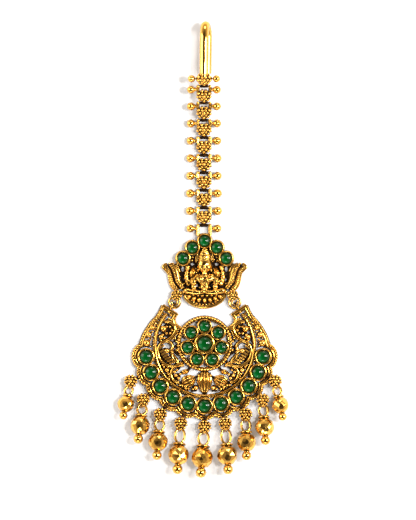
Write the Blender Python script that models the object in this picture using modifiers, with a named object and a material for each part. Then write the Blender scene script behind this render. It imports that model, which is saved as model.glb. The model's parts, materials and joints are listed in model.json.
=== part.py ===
"""A maang tikka: a hooked chain of flower links, a cast crest panel and an openwork crescent with bead drops.

It lies face up on its back. X runs to the right, Y up the chain towards the hook, Z out of the face.
The origin is the centre of the medallion, on the back face that the jewel lies on.
"""

import math
from collections import namedtuple

import bmesh
import bpy
from mathutils import Matrix, Vector

MM = 0.001

# Clearances
STONE_CLEARANCE = 0.12 * MM

# Round sections, as numbers of sides
CUP_SIDES = 10
BEAD_SIDES = 10
GRAIN_SIDES = 8
WIRE_SIDES = 5
RING_STEPS = 10
FLAT_ANGLE = math.radians(0.3)

# Crescent: one centre for the stone arc, the inner arc and the scalloped rim
CRESCENT_DROP = 0.9 * MM
ARC_RADIUS = 14.92 * MM
ARC_WIDTH = 0.98 * MM
ARC_HEIGHT = 1.6 * MM
ARC_SWEEP = 132.0
RIM_STONES = 11
RIM_STEP = 16.05
CUP_OVERLAP = 0.25 * MM
SCALLOP_RADIUS = 3.75 * MM
SCALLOP_WIDTH = 1.0 * MM
SCALLOP_HEIGHT = 1.35 * MM
SCALLOP_STEPS = 5

# Stone cups, by the size of their cabochon
Stone = namedtuple("Stone", "radius wall seat lip dome")
RIM_STONE = Stone(radius=2.0 * MM, wall=0.5 * MM, seat=0.7 * MM, lip=1.9 * MM, dome=1.1 * MM)
PETAL_STONE = Stone(radius=1.75 * MM, wall=0.36 * MM, seat=0.75 * MM, lip=2.0 * MM, dome=1.1 * MM)
HEART_STONE = Stone(radius=2.3 * MM, wall=0.68 * MM, seat=0.7 * MM, lip=2.4 * MM, dome=1.4 * MM)
CREST_STONE = Stone(radius=1.8 * MM, wall=0.3 * MM, seat=0.8 * MM, lip=2.1 * MM, dome=1.1 * MM)

# Medallion
MEDALLION_WIDTH = 0.9 * MM
MEDALLION_HEIGHT = 1.7 * MM
MEDALLION_PETALS = 7

# Horns of the crescent
HORN_WIRE_WIDTH = 0.9 * MM
HORN_WIRE_HEIGHT = 1.35 * MM
COLLAR_OUT = (12.55 * MM, 11.4 * MM)
COLLAR_IN = (8.3 * MM, 8.65 * MM)
COLLAR_RADIUS = 0.5 * MM
COLLAR_HEIGHT = 0.95 * MM
RUNGS = 4
RUNG_STEP = 4.5
RUNG_START = 27.0
RUNG_WIDTH = 0.38 * MM
RUNG_HEIGHT = 1.15 * MM

# Jump rings between the horns and the crest panel
JUMP_RADIUS = 1.62 * MM
JUMP_WIRE = 0.38 * MM
JUMP_HEIGHT = 1.0 * MM
JUMP_PLACE = (9.0 * MM, 12.3 * MM)
HOOP_RADIUS = 0.78 * MM
HOOP_WIRE = 0.2 * MM

# Filigree scrolls
SCROLL_WIDTH = 0.6 * MM
SCROLL_BOTTOM = 0.15 * MM
SCROLL_HEIGHT = 1.45 * MM
SPOKE_WIDTH = 0.4 * MM
GRAIN_BASE = 0.95 * MM

# Flowers over the drops, and the drops
FLOWER_RADIUS = 2.05 * MM
FLOWER_BOTTOM = 1.75 * MM
FLOWER_TOP = 3.0 * MM
FLOWER_LOBES = 6
NECK_WIDTH = 1.0 * MM
NECK_BOTTOM = 0.4 * MM
BACK_GAP = 0.2 * MM
LOOP_WIRE = 0.3 * MM
LOOP_HALF_WIDTH = 1.5 * MM
DROP_STEP = 16.1
DROP_SHIFT = -0.5 * MM
SCALLOP_TO_FLOWER = 2.425 * MM
EYE_OFFSET = 1.6 * MM
Drop = namedtuple("Drop", "station lean bead reach")
DROPS = (
    Drop(station=-4.0, lean=-12.0, bead=2.55 * MM, reach=6.95 * MM),
    Drop(station=-3.0, lean=-7.0, bead=2.97 * MM, reach=7.65 * MM),
    Drop(station=-2.0, lean=-4.6, bead=2.97 * MM, reach=8.15 * MM),
    Drop(station=-1.0, lean=-4.1, bead=3.15 * MM, reach=9.25 * MM),
    Drop(station=0.07, lean=-4.5, bead=3.3 * MM, reach=9.15 * MM),
    Drop(station=1.0, lean=3.7, bead=3.09 * MM, reach=9.4 * MM),
    Drop(station=2.0, lean=1.2, bead=2.94 * MM, reach=8.25 * MM),
    Drop(station=3.0, lean=3.8, bead=2.91 * MM, reach=8.1 * MM),
    Drop(station=4.0, lean=11.8, bead=2.58 * MM, reach=7.3 * MM),
)

# Chain: it hangs on the crest panel's bar, and each link is told from its lower hinge ring, along Y
CHAIN_X = -0.2 * MM
CREST_TO_CHAIN = 4.7 * MM
LINK_PITCH = 5.25 * MM
LINK_COUNT = 8
LINK_SLOPES = (8.0, 15.0, 22.0)
HOOK_SLOPE = 25.0
LINK_HEIGHT = 0.8 * MM
FLOWER_ALONG = 2.58 * MM
BAR_RADIUS = 0.24 * MM
KNUCKLE_RADIUS = 0.57 * MM
KNUCKLE_WIRE = 0.17 * MM
RAIL_RADIUS = 0.3 * MM
RAIL_X = 1.75 * MM
BALL_REACH_TOP = 3.7 * MM
BALL_REACH_END = 4.05 * MM
BALL_RADIUS_TOP = 1.12 * MM
BALL_RADIUS_END = 1.22 * MM
BALL_BELOW_BAR = 0.7 * MM
LINK_FLOWER_RADIUS = 2.1 * MM
LINK_FLOWER_SQUASH = 0.92
LINK_FLOWER_BOTTOM = -0.6 * MM
LINK_FLOWER_TOP = 1.15 * MM

# Hair hook: its front leg rises from the last hinge, its back leg lies on the surface. The knots of the
# wire are (sideways, along Y from that hinge, height over the hinge or over the back leg's rest)
HOOK_WIRE = 1.33 * MM
HOOK_SIDES = 10
HOOK_REST = 0.02 * MM
HOOK_FRONT = (
    (0.0, 2.8 * MM, 1.25 * MM),
    (0.0, 6.2 * MM, 1.45 * MM),
    (0.02 * MM, 11.2 * MM, 1.5 * MM),
    (0.1 * MM, 15.2 * MM, 1.4 * MM),
    (0.3 * MM, 17.55 * MM, 0.4 * MM),
    (0.6 * MM, 18.15 * MM, -1.05 * MM),
)
HOOK_BACK = (
    (0.85 * MM, 17.5 * MM, 1.0 * MM),
    (1.05 * MM, 15.2 * MM, 0.07 * MM),
    (1.0 * MM, 11.2 * MM, 0.0),
    (0.9 * MM, 3.7 * MM, 0.0),
)

# Crest panel
CREST_TOP = 30.7 * MM
CHAIN_FOOT = CREST_TOP + CREST_TO_CHAIN
CREST_STEPS = ((0.0, 0.0), (3.63 * MM, -2.0 * MM), (6.45 * MM, -5.2 * MM))
BOWL_OUTLINE = (
    (6.6 * MM, 15.9 * MM),
    (7.0 * MM, 14.1 * MM),
    (5.7 * MM, 12.3 * MM),
    (3.2 * MM, 10.9 * MM),
    (0.0, 10.35 * MM),
)
WING_OUTLINE = (
    (8.35 * MM, 24.95 * MM),
    (10.05 * MM, 24.3 * MM),
    (11.5 * MM, 23.9 * MM),
    (12.4 * MM, 22.9 * MM),
    (11.1 * MM, 20.9 * MM),
    (10.5 * MM, 18.6 * MM),
    (9.7 * MM, 16.7 * MM),
    (8.6 * MM, 15.4 * MM),
    (6.3 * MM, 15.1 * MM),
    (6.5 * MM, 17.4 * MM),
    (7.1 * MM, 20.0 * MM),
    (7.3 * MM, 22.3 * MM),
)
WING_RIDGE = (
    (8.4 * MM, 24.3 * MM),
    (9.4 * MM, 23.5 * MM),
    (8.5 * MM, 20.6 * MM),
    (7.3 * MM, 17.5 * MM),
    (6.5 * MM, 16.0 * MM),
)
REAR_ARM = ((1.4 * MM, 19.7 * MM), (4.85 * MM, 18.4 * MM), (5.2 * MM, 21.0 * MM), (5.4 * MM, 23.55 * MM))
FRONT_ARM = ((1.3 * MM, 19.6 * MM), (3.5 * MM, 18.2 * MM), (3.0 * MM, 15.6 * MM))
CORNER_PLACE = (8.35 * MM, 14.65 * MM)
CORNER_ROOT = (7.0 * MM, 15.9 * MM)
CORNER_RADIUS = 1.45 * MM
CORNER_ROOT_WIDTH = 1.2 * MM
BAND_WIDTH = 1.4 * MM
BAND_HEIGHT = 0.6 * MM
FOOT_BAR_ABOVE = 1.8 * MM
FOOT_BAR_WIDTH = 0.7 * MM

# Seated figure: where its rounded forms sit, and their radii
HALO_CENTRE = (0.0, 25.4 * MM)
HALO_RADIUS = 2.65 * MM
HALO_HEIGHT = 1.5 * MM
HALO_WIDTH = 0.6 * MM
HALO_HALF_GAP = 70.0
Form = namedtuple("Form", "y z radius squash")
CROWN = Form(y=25.9 * MM, z=1.5 * MM, radius=2.5 * MM, squash=(0.52, 1.0, 0.5))
HEAD = Form(y=22.9 * MM, z=1.7 * MM, radius=1.75 * MM, squash=(1.0, 1.05, 0.8))
TRUNK = Form(y=18.9 * MM, z=1.35 * MM, radius=3.0 * MM, squash=(0.68, 1.0, 0.42))
REAR_ARM_RADIUS = 0.58 * MM
REAR_ARM_HEIGHT = 1.15 * MM
FRONT_ARM_RADIUS = 0.6 * MM
FRONT_ARM_HEIGHT = 1.45 * MM
BUD = Form(y=21.35 * MM, z=1.2 * MM, radius=1.7 * MM, squash=(0.52, 1.0, 0.5))
BUD_X = 3.4 * MM
BUD_STEM = ((3.4 * MM, 21.0 * MM), (3.3 * MM, 18.4 * MM))
BUD_STEM_WIDTH = 0.6 * MM
BUD_STEM_SPAN = (0.5 * MM, 1.3 * MM)
HALO_STRUT = ((2.4 * MM, 24.6 * MM), (1.3 * MM, 23.4 * MM))
HALO_STRUT_WIDTH = 0.7 * MM
HALO_STRUT_SPAN = (0.4 * MM, 1.35 * MM)


def clear_scene():
    """Takes away whatever the file opened with."""
    for item in list(bpy.data.objects):
        bpy.data.objects.remove(item)


def new_collection(name):
    made = bpy.data.collections.new(name)
    bpy.context.scene.collection.children.link(made)
    return made


clear_scene()
TIKKA = new_collection("maang_tikka")
WORKSHOP = new_collection("workshop")


def metal(name, colour, roughness):
    made = bpy.data.materials.new(name)
    made.use_nodes = True
    shader = made.node_tree.nodes["Principled BSDF"]
    shader.inputs["Base Color"].default_value = (*colour, 1.0)
    shader.inputs["Metallic"].default_value = 1.0
    shader.inputs["Roughness"].default_value = roughness
    return made


def glassy(name, colour, roughness):
    made = metal(name, colour, roughness)
    made.node_tree.nodes["Principled BSDF"].inputs["Metallic"].default_value = 0.0
    return made


ANTIQUE_GOLD = metal("antique_gold", (0.86, 0.52, 0.10), 0.28)
BRIGHT_GOLD = metal("bright_gold", (0.95, 0.62, 0.14), 0.12)
GREEN_STONE = glassy("green_stone", (0.01, 0.28, 0.09), 0.08)


# Small solids, each made in the workshop and fused later


def keep(name, mesh, collection=WORKSHOP):
    made = bpy.data.objects.new(name, mesh)
    collection.objects.link(made)
    return made


def baked(source):
    """The evaluated mesh of an object as a new closed object, in place of the old one."""
    bpy.context.view_layer.update()
    graph = bpy.context.evaluated_depsgraph_get()
    mesh = bpy.data.meshes.new_from_object(source.evaluated_get(graph))
    mesh.transform(source.matrix_world)
    shell = bmesh.new()
    shell.from_mesh(mesh)
    bmesh.ops.remove_doubles(shell, verts=shell.verts, dist=0.0005 * MM)
    bmesh.ops.dissolve_limit(shell, angle_limit=FLAT_ANGLE, verts=shell.verts, edges=shell.edges)
    bmesh.ops.recalc_face_normals(shell, faces=shell.faces)
    shell.to_mesh(mesh)
    shell.free()
    name = source.name
    bpy.data.objects.remove(source)
    return keep(name, mesh)


def ball(centre, radius, sides=GRAIN_SIDES, squash=(1.0, 1.0, 1.0), turn=0.0):
    """A round grain; squash gives an oval one its shares of the radius, turn swings it in the face."""
    shell = bmesh.new()
    place = Matrix.Translation(Vector(centre)) @ Matrix.Rotation(math.radians(turn), 4, "Z")
    place = place @ Matrix.Diagonal((*squash, 1.0))
    rings = max(3, sides // 2 - 1)
    bmesh.ops.create_uvsphere(shell, u_segments=sides, v_segments=rings, radius=radius, matrix=place)
    mesh = bpy.data.meshes.new("grain")
    shell.to_mesh(mesh)
    shell.free()
    return keep("grain", mesh)


def turned(profile, sides, place=Matrix.Identity(4)):
    """A solid turned about Z from (radius, height) points, top to bottom, then put in place."""
    mesh = bpy.data.meshes.new("turned")
    points = [(radius, 0.0, height) for radius, height in profile]
    mesh.from_pydata(points, [(i, i + 1) for i in range(len(points) - 1)], [])
    made = keep("turned", mesh)
    screw = made.modifiers.new("turn", "SCREW")
    screw.steps = screw.render_steps = sides
    screw.use_merge_vertices = True
    screw.merge_threshold = 0.001 * MM
    made = baked(made)
    made.data.transform(place)
    return made


def tube(points, radius, sides=WIRE_SIDES, cyclic=False):
    """A round wire along points, with filled caps."""
    curve = bpy.data.curves.new("wire", "CURVE")
    curve.dimensions = "3D"
    curve.use_fill_caps = True
    spline = curve.splines.new("POLY")
    spline.points.add(len(points) - 1)
    for knot, point in zip(spline.points, points):
        knot.co = (*point, 1.0)
    spline.use_cyclic_u = cyclic
    guide = bpy.data.curves.new("section", "CURVE")
    guide.dimensions = "2D"
    rim = guide.splines.new("POLY")
    rim.points.add(sides - 1)
    for i, knot in enumerate(rim.points):
        angle = 2 * math.pi * i / sides
        knot.co = (radius * math.cos(angle), radius * math.sin(angle), 0.0, 1.0)
    rim.use_cyclic_u = True
    section = bpy.data.objects.new("section", guide)
    WORKSHOP.objects.link(section)
    curve.bevel_mode = "OBJECT"
    curve.bevel_object = section
    made = bpy.data.objects.new("wire", curve)
    WORKSHOP.objects.link(made)
    made = baked(made)
    bpy.data.objects.remove(section)
    return made


def strip(points, width, bottom, top, closed=False):
    """A flat-backed wire: a wall that stands along points in the face, given its width by Solidify."""
    count = len(points)
    low = [(x, y, bottom) for x, y in points]
    high = [(x, y, top) for x, y in points]
    spans = count if closed else count - 1
    faces = [(i, (i + 1) % count, count + (i + 1) % count, count + i) for i in range(spans)]
    mesh = bpy.data.meshes.new("strip")
    mesh.from_pydata(low + high, [], faces)
    made = keep("strip", mesh)
    wall = made.modifiers.new("width", "SOLIDIFY")
    wall.thickness = width
    wall.offset = 0.0
    wall.use_even_offset = True
    return baked(made)


def loft(sections):
    """A closed solid through sections of as many points each, from the lowest up."""
    shell = bmesh.new()
    rings = [[shell.verts.new(point) for point in section] for section in sections]
    count = len(rings[0])
    for low, high in zip(rings, rings[1:]):
        for i in range(count):
            j = (i + 1) % count
            shell.faces.new((low[i], low[j], high[j], high[i]))
    shell.faces.new(list(reversed(rings[0])))
    shell.faces.new(rings[-1])
    bmesh.ops.recalc_face_normals(shell, faces=shell.faces)
    mesh = bpy.data.meshes.new("loft")
    shell.to_mesh(mesh)
    shell.free()
    return keep("loft", mesh)


def ring(centre, radius, wire, normal, steps=RING_STEPS, sides=WIRE_SIDES):
    """A round wire ring about a normal."""
    turn = Vector(normal).to_track_quat("Z", "Y").to_matrix()
    angles = [2 * math.pi * i / steps for i in range(steps)]
    flat = [Vector((radius * math.cos(a), radius * math.sin(a), 0.0)) for a in angles]
    return tube([Vector(centre) + turn @ point for point in flat], wire, sides, cyclic=True)


def rosette(centre, radius, bottom, top, lobes, place=None):
    """A lobed flower with a raised heart: the coarse form of a cluster of grains round one grain."""
    count = 2 * lobes
    levels = (
        (1.0, 0.86, bottom),
        (0.6, 0.54, top),
    )
    sections = []
    for lobe_share, valley_share, height in levels:
        section = []
        for i in range(count):
            reach = radius * (valley_share if i % 2 else lobe_share)
            angle = math.pi / 2 + 2 * math.pi * i / count
            section.append((centre[0] + reach * math.cos(angle), centre[1] + reach * math.sin(angle), height))
        sections.append(section)
    made = loft(sections)
    if place is not None:
        made.data.transform(place)
    return made


def fused(name, pieces, material):
    """Soldered or cast pieces as one solid, named as its node."""
    base = pieces[0]
    others = bpy.data.collections.new("operands")
    bpy.context.scene.collection.children.link(others)
    for piece in pieces[1:]:
        others.objects.link(piece)
        WORKSHOP.objects.unlink(piece)
    if len(pieces) > 1:
        union = base.modifiers.new("solder", "BOOLEAN")
        union.operation = "UNION"
        union.operand_type = "COLLECTION"
        union.collection = others
        union.solver = "EXACT"
    made = baked(base)
    for piece in list(others.objects):
        bpy.data.objects.remove(piece)
    bpy.data.collections.remove(others)
    WORKSHOP.objects.unlink(made)
    TIKKA.objects.link(made)
    made.name = name
    made.data.name = name
    made.data.materials.clear()
    made.data.materials.append(material)
    return made


# Places that several pieces share


def polar(centre, radius, angle):
    """A point at an angle counted from straight down the photo, positive to the right."""
    turn = math.radians(angle)
    return Vector((centre[0] + radius * math.sin(turn), centre[1] - radius * math.cos(turn)))


def arc(centre, radius, start, end, steps):
    return [polar(centre, radius, start + (end - start) * i / steps) for i in range(steps + 1)]


def smooth(knots, steps):
    """Points of a Catmull-Rom curve through knots, steps to a span."""
    padded = [knots[0], *knots, knots[-1]]
    points = []
    for a, b, c, d in zip(padded, padded[1:], padded[2:], padded[3:]):
        a, b, c, d = Vector(a), Vector(b), Vector(c), Vector(d)
        for i in range(steps):
            t = i / steps
            point = b * 2 + (c - a) * t + (a * 2 - b * 5 + c * 4 - d) * t**2 + (b * 3 - a - c * 3 + d) * t**3
            points.append(point / 2)
    return [*points, Vector(knots[-1])]


def mirrored(points, side):
    return [Vector((side * point[0], *point[1:])) for point in points]


CRESCENT_CENTRE = Vector((0.0, -CRESCENT_DROP))
MEDALLION_CENTRE = Vector((0.0, 0.0))


def cup_radius(stone):
    return stone.radius + STONE_CLEARANCE + stone.wall


STONE_ARC = ARC_RADIUS + ARC_WIDTH / 2 + cup_radius(RIM_STONE) - CUP_OVERLAP
DROP_ARC = STONE_ARC + SCALLOP_RADIUS + SCALLOP_TO_FLOWER
PETAL_RING = cup_radius(HEART_STONE) + cup_radius(PETAL_STONE) - CUP_OVERLAP
MEDALLION_RADIUS = PETAL_RING + cup_radius(PETAL_STONE) + MEDALLION_WIDTH / 2 - CUP_OVERLAP


def rim_angle(index):
    return RIM_STEP * (index - (RIM_STONES - 1) / 2)


def rim_places():
    return [polar(CRESCENT_CENTRE, STONE_ARC, rim_angle(i)) for i in range(RIM_STONES)]


def petal_places():
    step = 360.0 / MEDALLION_PETALS
    return [polar(MEDALLION_CENTRE, PETAL_RING, 180.0 + step * i) for i in range(MEDALLION_PETALS)]


def crest_places():
    places = []
    for across, down in CREST_STEPS:
        for side in (1,) if across == 0.0 else (-1, 1):
            places.append(Vector((side * across, CREST_TOP + down)))
    return places


# Stones and their cups


def cup(place, stone):
    """A round cup, open at the top, that holds one cabochon."""
    outer = cup_radius(stone)
    inner = stone.radius + STONE_CLEARANCE
    profile = (
        (0.0, stone.seat),
        (inner, stone.seat),
        (inner, stone.lip),
        (outer, stone.lip),
        (outer, 0.0),
        (0.0, 0.0),
    )
    return turned(profile, CUP_SIDES, Matrix.Translation((place[0], place[1], 0.0)))


def cabochon(name, place, stone):
    """A domed stone that lies in its cup."""
    low = stone.seat + STONE_CLEARANCE
    profile = (
        (0.0, stone.lip + stone.dome),
        (0.62 * stone.radius, stone.lip + 0.74 * stone.dome),
        (stone.radius, stone.lip),
        (stone.radius, low),
        (0.0, low),
    )
    made = turned(profile, CUP_SIDES, Matrix.Translation((place[0], place[1], 0.0)))
    return fused(name, [made], GREEN_STONE)


# Crescent


def scallops():
    """The scalloped edge: an arc about each stone, from notch to notch, with a post to its cup."""
    half = math.radians(RIM_STEP / 2)
    across = STONE_ARC * math.sin(half)
    depth = math.sqrt(SCALLOP_RADIUS**2 - across**2)
    away = math.degrees(math.atan2(across, depth)) + RIM_STEP / 2
    pieces = []
    for index, place in enumerate(rim_places()):
        middle = rim_angle(index)
        first = away if index else away + 30.0
        last = away if index < RIM_STONES - 1 else away + 30.0
        path = arc(place, SCALLOP_RADIUS, middle - first - 2.0, middle + last + 2.0, SCALLOP_STEPS)
        lift = 0.02 * MM * (index % 2)
        pieces.append(strip(path, SCALLOP_WIDTH, lift, SCALLOP_HEIGHT + lift))
        post = [polar(place, cup_radius(RIM_STONE) - 0.12 * MM, middle), polar(place, SCALLOP_RADIUS, middle)]
        pieces.append(strip(post, 0.8 * MM, 0.1 * MM, SCALLOP_HEIGHT - 0.2 * MM))
    return pieces


HornKnot = namedtuple("HornKnot", "angle reach")
# Outer wire of a horn, as angles above the crescent's waist and shares of the inner arc's radius
HORN_WIRE = (
    HornKnot(angle=0.5, reach=1.3),
    HornKnot(angle=8.5, reach=1.26),
    HornKnot(angle=16.0, reach=1.215),
    HornKnot(angle=24.5, reach=1.17),
    HornKnot(angle=34.0, reach=1.13),
)
# Scrolls of the right half, as shares of the inner arc's radius about the crescent's centre
PAISLEY = (
    (0.98, 0.43),
    (0.83, 0.474),
    (0.745, 0.489),
    (0.65, 0.474),
    (0.595, 0.4),
    (0.6, 0.32),
    (0.66, 0.219),
    (0.73, 0.11),
)
VOLUTE = (
    (0.75, -0.088),
    (0.679, -0.088),
    (0.635, -0.029),
    (0.65, 0.044),
    (0.73, 0.102),
    (0.832, 0.095),
    (0.93, 0.03),
    (0.97, -0.06),
    (0.93, -0.19),
    (0.869, -0.285),
    (0.785, -0.358),
    (0.693, -0.394),
    (0.613, -0.42),
)
LOWER_LOOP = (
    (0.431, -0.42),
    (0.533, -0.387),
    (0.628, -0.438),
    (0.682, -0.511),
    (0.679, -0.606),
    (0.628, -0.679),
    (0.57, -0.82),
)
Grain = namedtuple("Grain", "x y radius")
GRAINS = (
    Grain(x=1.045, y=0.385, radius=0.7 * MM),
    Grain(x=1.11, y=0.245, radius=0.8 * MM),
    Grain(x=1.145, y=0.065, radius=1.05 * MM),
    Grain(x=0.9, y=0.345, radius=0.8 * MM),
)


def field_point(share, side):
    return CRESCENT_CENTRE + Vector((side * share[0] * ARC_RADIUS, share[1] * ARC_RADIUS))


def field_path(shares, side, steps=2):
    return smooth([field_point(share, side) for share in shares], steps)


def upright_hoop(centre, along):
    """A small ring on edge that a jump ring or a drop's loop passes through."""
    across = Vector((-along[1], along[0], 0.0))
    return ring((*centre, JUMP_HEIGHT), HOOP_RADIUS, HOOP_WIRE, across, 8, 4)


def horn(side):
    outer = Vector((side * COLLAR_OUT[0], COLLAR_OUT[1]))
    inner = Vector((side * COLLAR_IN[0], COLLAR_IN[1]))
    wire = [polar(CRESCENT_CENTRE, ARC_RADIUS * knot.reach, side * (90.0 + knot.angle)) for knot in HORN_WIRE]
    meeting = polar(MEDALLION_CENTRE, MEDALLION_RADIUS, side * 122.0)
    bulge = field_point((0.62, 0.56), side)
    bar = [Vector((*inner, COLLAR_HEIGHT)), Vector((*outer, COLLAR_HEIGHT))]
    jump = Vector((side * JUMP_PLACE[0], JUMP_PLACE[1]))
    along = (inner - outer).normalized()
    away = Vector((-along.y, along.x)) * side
    away = away if (jump - inner).dot(away) > 0 else -away
    lower = jump - away * JUMP_RADIUS
    pieces = [
        strip(smooth([*wire, outer - away * 0.3 * MM], 1), HORN_WIRE_WIDTH, 0.0, HORN_WIRE_HEIGHT),
        strip(smooth([inner, bulge, meeting], 2), SCROLL_WIDTH, 0.05 * MM, HORN_WIRE_HEIGHT + 0.03 * MM),
        tube(bar, COLLAR_RADIUS, 8),
        upright_hoop(lower, away),
    ]
    pieces += [ball(end, COLLAR_RADIUS * 1.4) for end in bar]
    for index in range(RUNGS):
        angle = side * (90.0 + RUNG_START + RUNG_STEP * index)
        ends = [polar(CRESCENT_CENTRE, ARC_RADIUS * share, angle) for share in (1.0, 1.15)]
        pieces.append(strip(ends, RUNG_WIDTH, 0.1 * MM, RUNG_HEIGHT))
    return pieces


def scrolls(side):
    pieces = [
        strip(field_path(PAISLEY, side, 1), SCROLL_WIDTH, SCROLL_BOTTOM, SCROLL_HEIGHT),
        strip(field_path(VOLUTE, side, 1), SCROLL_WIDTH, SCROLL_BOTTOM * 0.7, SCROLL_HEIGHT + 0.07 * MM),
    ]
    loop = field_path(LOWER_LOOP, side, 1)
    pieces.append(strip(loop, SCROLL_WIDTH, SCROLL_BOTTOM * 1.3, SCROLL_HEIGHT - 0.06 * MM))
    for grain in GRAINS:
        place = field_point((grain.x, grain.y), side)
        pieces.append(ball((*place, max(GRAIN_BASE, grain.radius)), grain.radius))
        foot = CRESCENT_CENTRE + (place - CRESCENT_CENTRE).normalized() * ARC_RADIUS
        pieces.append(strip([place, foot], SPOKE_WIDTH, 0.12 * MM, GRAIN_BASE))
    heart = field_point((0.75, -0.088), side)
    pieces.append(ball((*heart, GRAIN_BASE), 0.8 * MM))
    leaf = field_point((0.78, -0.2), side)
    pieces.append(ball((*leaf, GRAIN_BASE), 1.55 * MM, 8, (0.62, 1.0, 0.55), side * 30.0))
    pieces.append(strip([leaf, field_point((0.56, -0.13), side)], SPOKE_WIDTH * 1.4, 0.14 * MM, GRAIN_BASE))
    pieces.append(strip([leaf, field_point((1.0, -0.26), side)], SPOKE_WIDTH * 1.4, 0.13 * MM, GRAIN_BASE))
    return pieces


def lotus():
    """Three plump petals between the medallion and the inner arc."""
    top = MEDALLION_CENTRE.y - MEDALLION_RADIUS
    foot = CRESCENT_CENTRE.y - ARC_RADIUS
    middle, half = (top + foot) / 2, (top - foot) / 2
    petals = [ball((0.0, middle, 1.15 * MM), half * 1.06, 10, (0.66, 1.0, 0.28))]
    for side in (-1, 1):
        place = (side * half * 1.42, middle + 0.2 * half, 1.05 * MM)
        petals.append(ball(place, half * 0.9, 8, (0.62, 1.08, 0.3), side * 42.0))
    return petals


def drop_direction(drop):
    return polar((0.0, 0.0), 1.0, drop.lean)


def drop_flower_place(drop):
    return polar(CRESCENT_CENTRE + Vector((DROP_SHIFT, 0.0)), DROP_ARC, drop.station * DROP_STEP)


def drop_flower(drop):
    place = drop_flower_place(drop)
    inwards = (CRESCENT_CENTRE - place).normalized()
    along = drop_direction(drop)
    neck = [place, place + inwards * (FLOWER_RADIUS + SCALLOP_WIDTH * 0.75)]
    return [
        rosette(place, FLOWER_RADIUS, FLOWER_BOTTOM, FLOWER_TOP, FLOWER_LOBES),
        strip(neck, NECK_WIDTH, NECK_BOTTOM, FLOWER_BOTTOM + BACK_GAP),
        upright_hoop(place + along * EYE_OFFSET, along),
    ]


def crescent():
    inner_arc = arc(CRESCENT_CENTRE, ARC_RADIUS, -ARC_SWEEP, ARC_SWEEP, 32)
    circle = arc(MEDALLION_CENTRE, MEDALLION_RADIUS, 0.0, 360.0, 22)[:-1]
    pieces = [
        strip(inner_arc, ARC_WIDTH, 0.0, ARC_HEIGHT),
        strip(circle, MEDALLION_WIDTH, 0.0, MEDALLION_HEIGHT, True),
        cup(MEDALLION_CENTRE, HEART_STONE),
    ]
    pieces += [cup(place, PETAL_STONE) for place in petal_places()]
    pieces += [cup(place, RIM_STONE) for place in rim_places()]
    pieces += scallops()
    for side in (-1, 1):
        pieces += horn(side) + scrolls(side)
    pieces += lotus()
    for drop in DROPS:
        pieces += drop_flower(drop)
    return fused("crescent_pendant", pieces, ANTIQUE_GOLD)


# Drops


def drop_bead(name, drop):
    """A faceted bead with its collar, end ball and wire loop; the loop lies in the flower's hidden hoop."""
    flat = drop_direction(drop)
    start = drop_flower_place(drop) + flat * EYE_OFFSET
    origin = Vector((*start, JUMP_HEIGHT))
    middle = Vector((*(drop_flower_place(drop) + flat * drop.reach), drop.bead))
    axis = (middle - origin).normalized()
    length = (middle - origin).length
    across = Vector((flat.y, -flat.x, 0.0))
    lift = across.cross(axis)
    frame = Matrix((across, lift, axis)).transposed().to_4x4()
    place = Matrix.Translation(origin) @ frame
    bead = drop.bead
    collar = 0.5 * bead
    tip = 0.46 * bead
    profile = (
        (0.0, length + bead + 1.85 * tip),
        (0.75 * tip, length + bead + 1.55 * tip),
        (tip, length + bead + 0.7 * tip),
        (0.25 * bead, length + 0.97 * bead),
        (0.78 * bead, length + 0.63 * bead),
        (bead, length),
        (0.8 * bead, length - 0.6 * bead),
        (collar, length - 0.87 * bead),
        (1.05 * collar, length - bead - 0.35 * MM),
        (0.0, length - bead - 0.5 * MM),
    )
    body = turned(profile, BEAD_SIDES, place)
    foot = length - bead - 0.3 * MM
    wide = LOOP_HALF_WIDTH * bead / DROPS[4].bead
    oval = []
    for i in range(RING_STEPS):
        angle = 2 * math.pi * i / RING_STEPS
        oval.append(place @ Vector((wide * math.sin(angle), 0.0, foot / 2 * (1 - math.cos(angle)))))
    loop = tube(oval, LOOP_WIRE, WIRE_SIDES, cyclic=True)
    return fused(name, [body, loop], BRIGHT_GOLD)


# Chain


def placed(pieces, matrix):
    for piece in pieces:
        piece.data.transform(matrix)
    return pieces


def hinge_frame(foot, height, slope):
    turn = Matrix.Rotation(math.radians(slope), 4, "X")
    return Matrix.Translation((CHAIN_X, foot, height)) @ turn


def link_flower():
    """The granulated flower and the small ring at its foot that hangs on the next hinge bar."""
    squash = Matrix.Diagonal((1.0, LINK_FLOWER_SQUASH, 1.0, 1.0))
    turn = Matrix.Rotation(math.pi / FLOWER_LOBES, 4, "Z")
    place = Matrix.Translation((0.0, FLOWER_ALONG, 0.0)) @ squash @ turn
    base, top = LINK_FLOWER_BOTTOM, LINK_FLOWER_TOP
    flower = rosette((0.0, 0.0), LINK_FLOWER_RADIUS, base, top, FLOWER_LOBES, place)
    ends = [(0.0, KNUCKLE_RADIUS - 0.03 * MM), (0.0, FLOWER_ALONG - 1.0 * MM)]
    stem = strip(ends, 0.5 * MM, -0.3 * MM, 0.35 * MM)
    return [
        flower,
        stem,
        ring((0.0, 0.0, 0.0), KNUCKLE_RADIUS, KNUCKLE_WIRE, (1, 0, 0), 8, 4),
    ]


def hinge(bar, reach, radius, from_flower):
    """The bar that the next link hangs on, its two rails, and the side balls on short arms."""
    corners = ((-RAIL_X, from_flower), (-RAIL_X, bar), (RAIL_X, bar), (RAIL_X, from_flower))
    pieces = [tube([(x, y, 0.0) for x, y in corners], BAR_RADIUS)]
    row = bar - BALL_BELOW_BAR
    for side in (-1, 1):
        pieces.append(tube([(side * RAIL_X, row, 0.0), (side * reach, row, 0.0)], RAIL_RADIUS))
        pieces.append(ball((side * reach, row, radius - LINK_HEIGHT), radius, 8))
    return pieces


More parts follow.
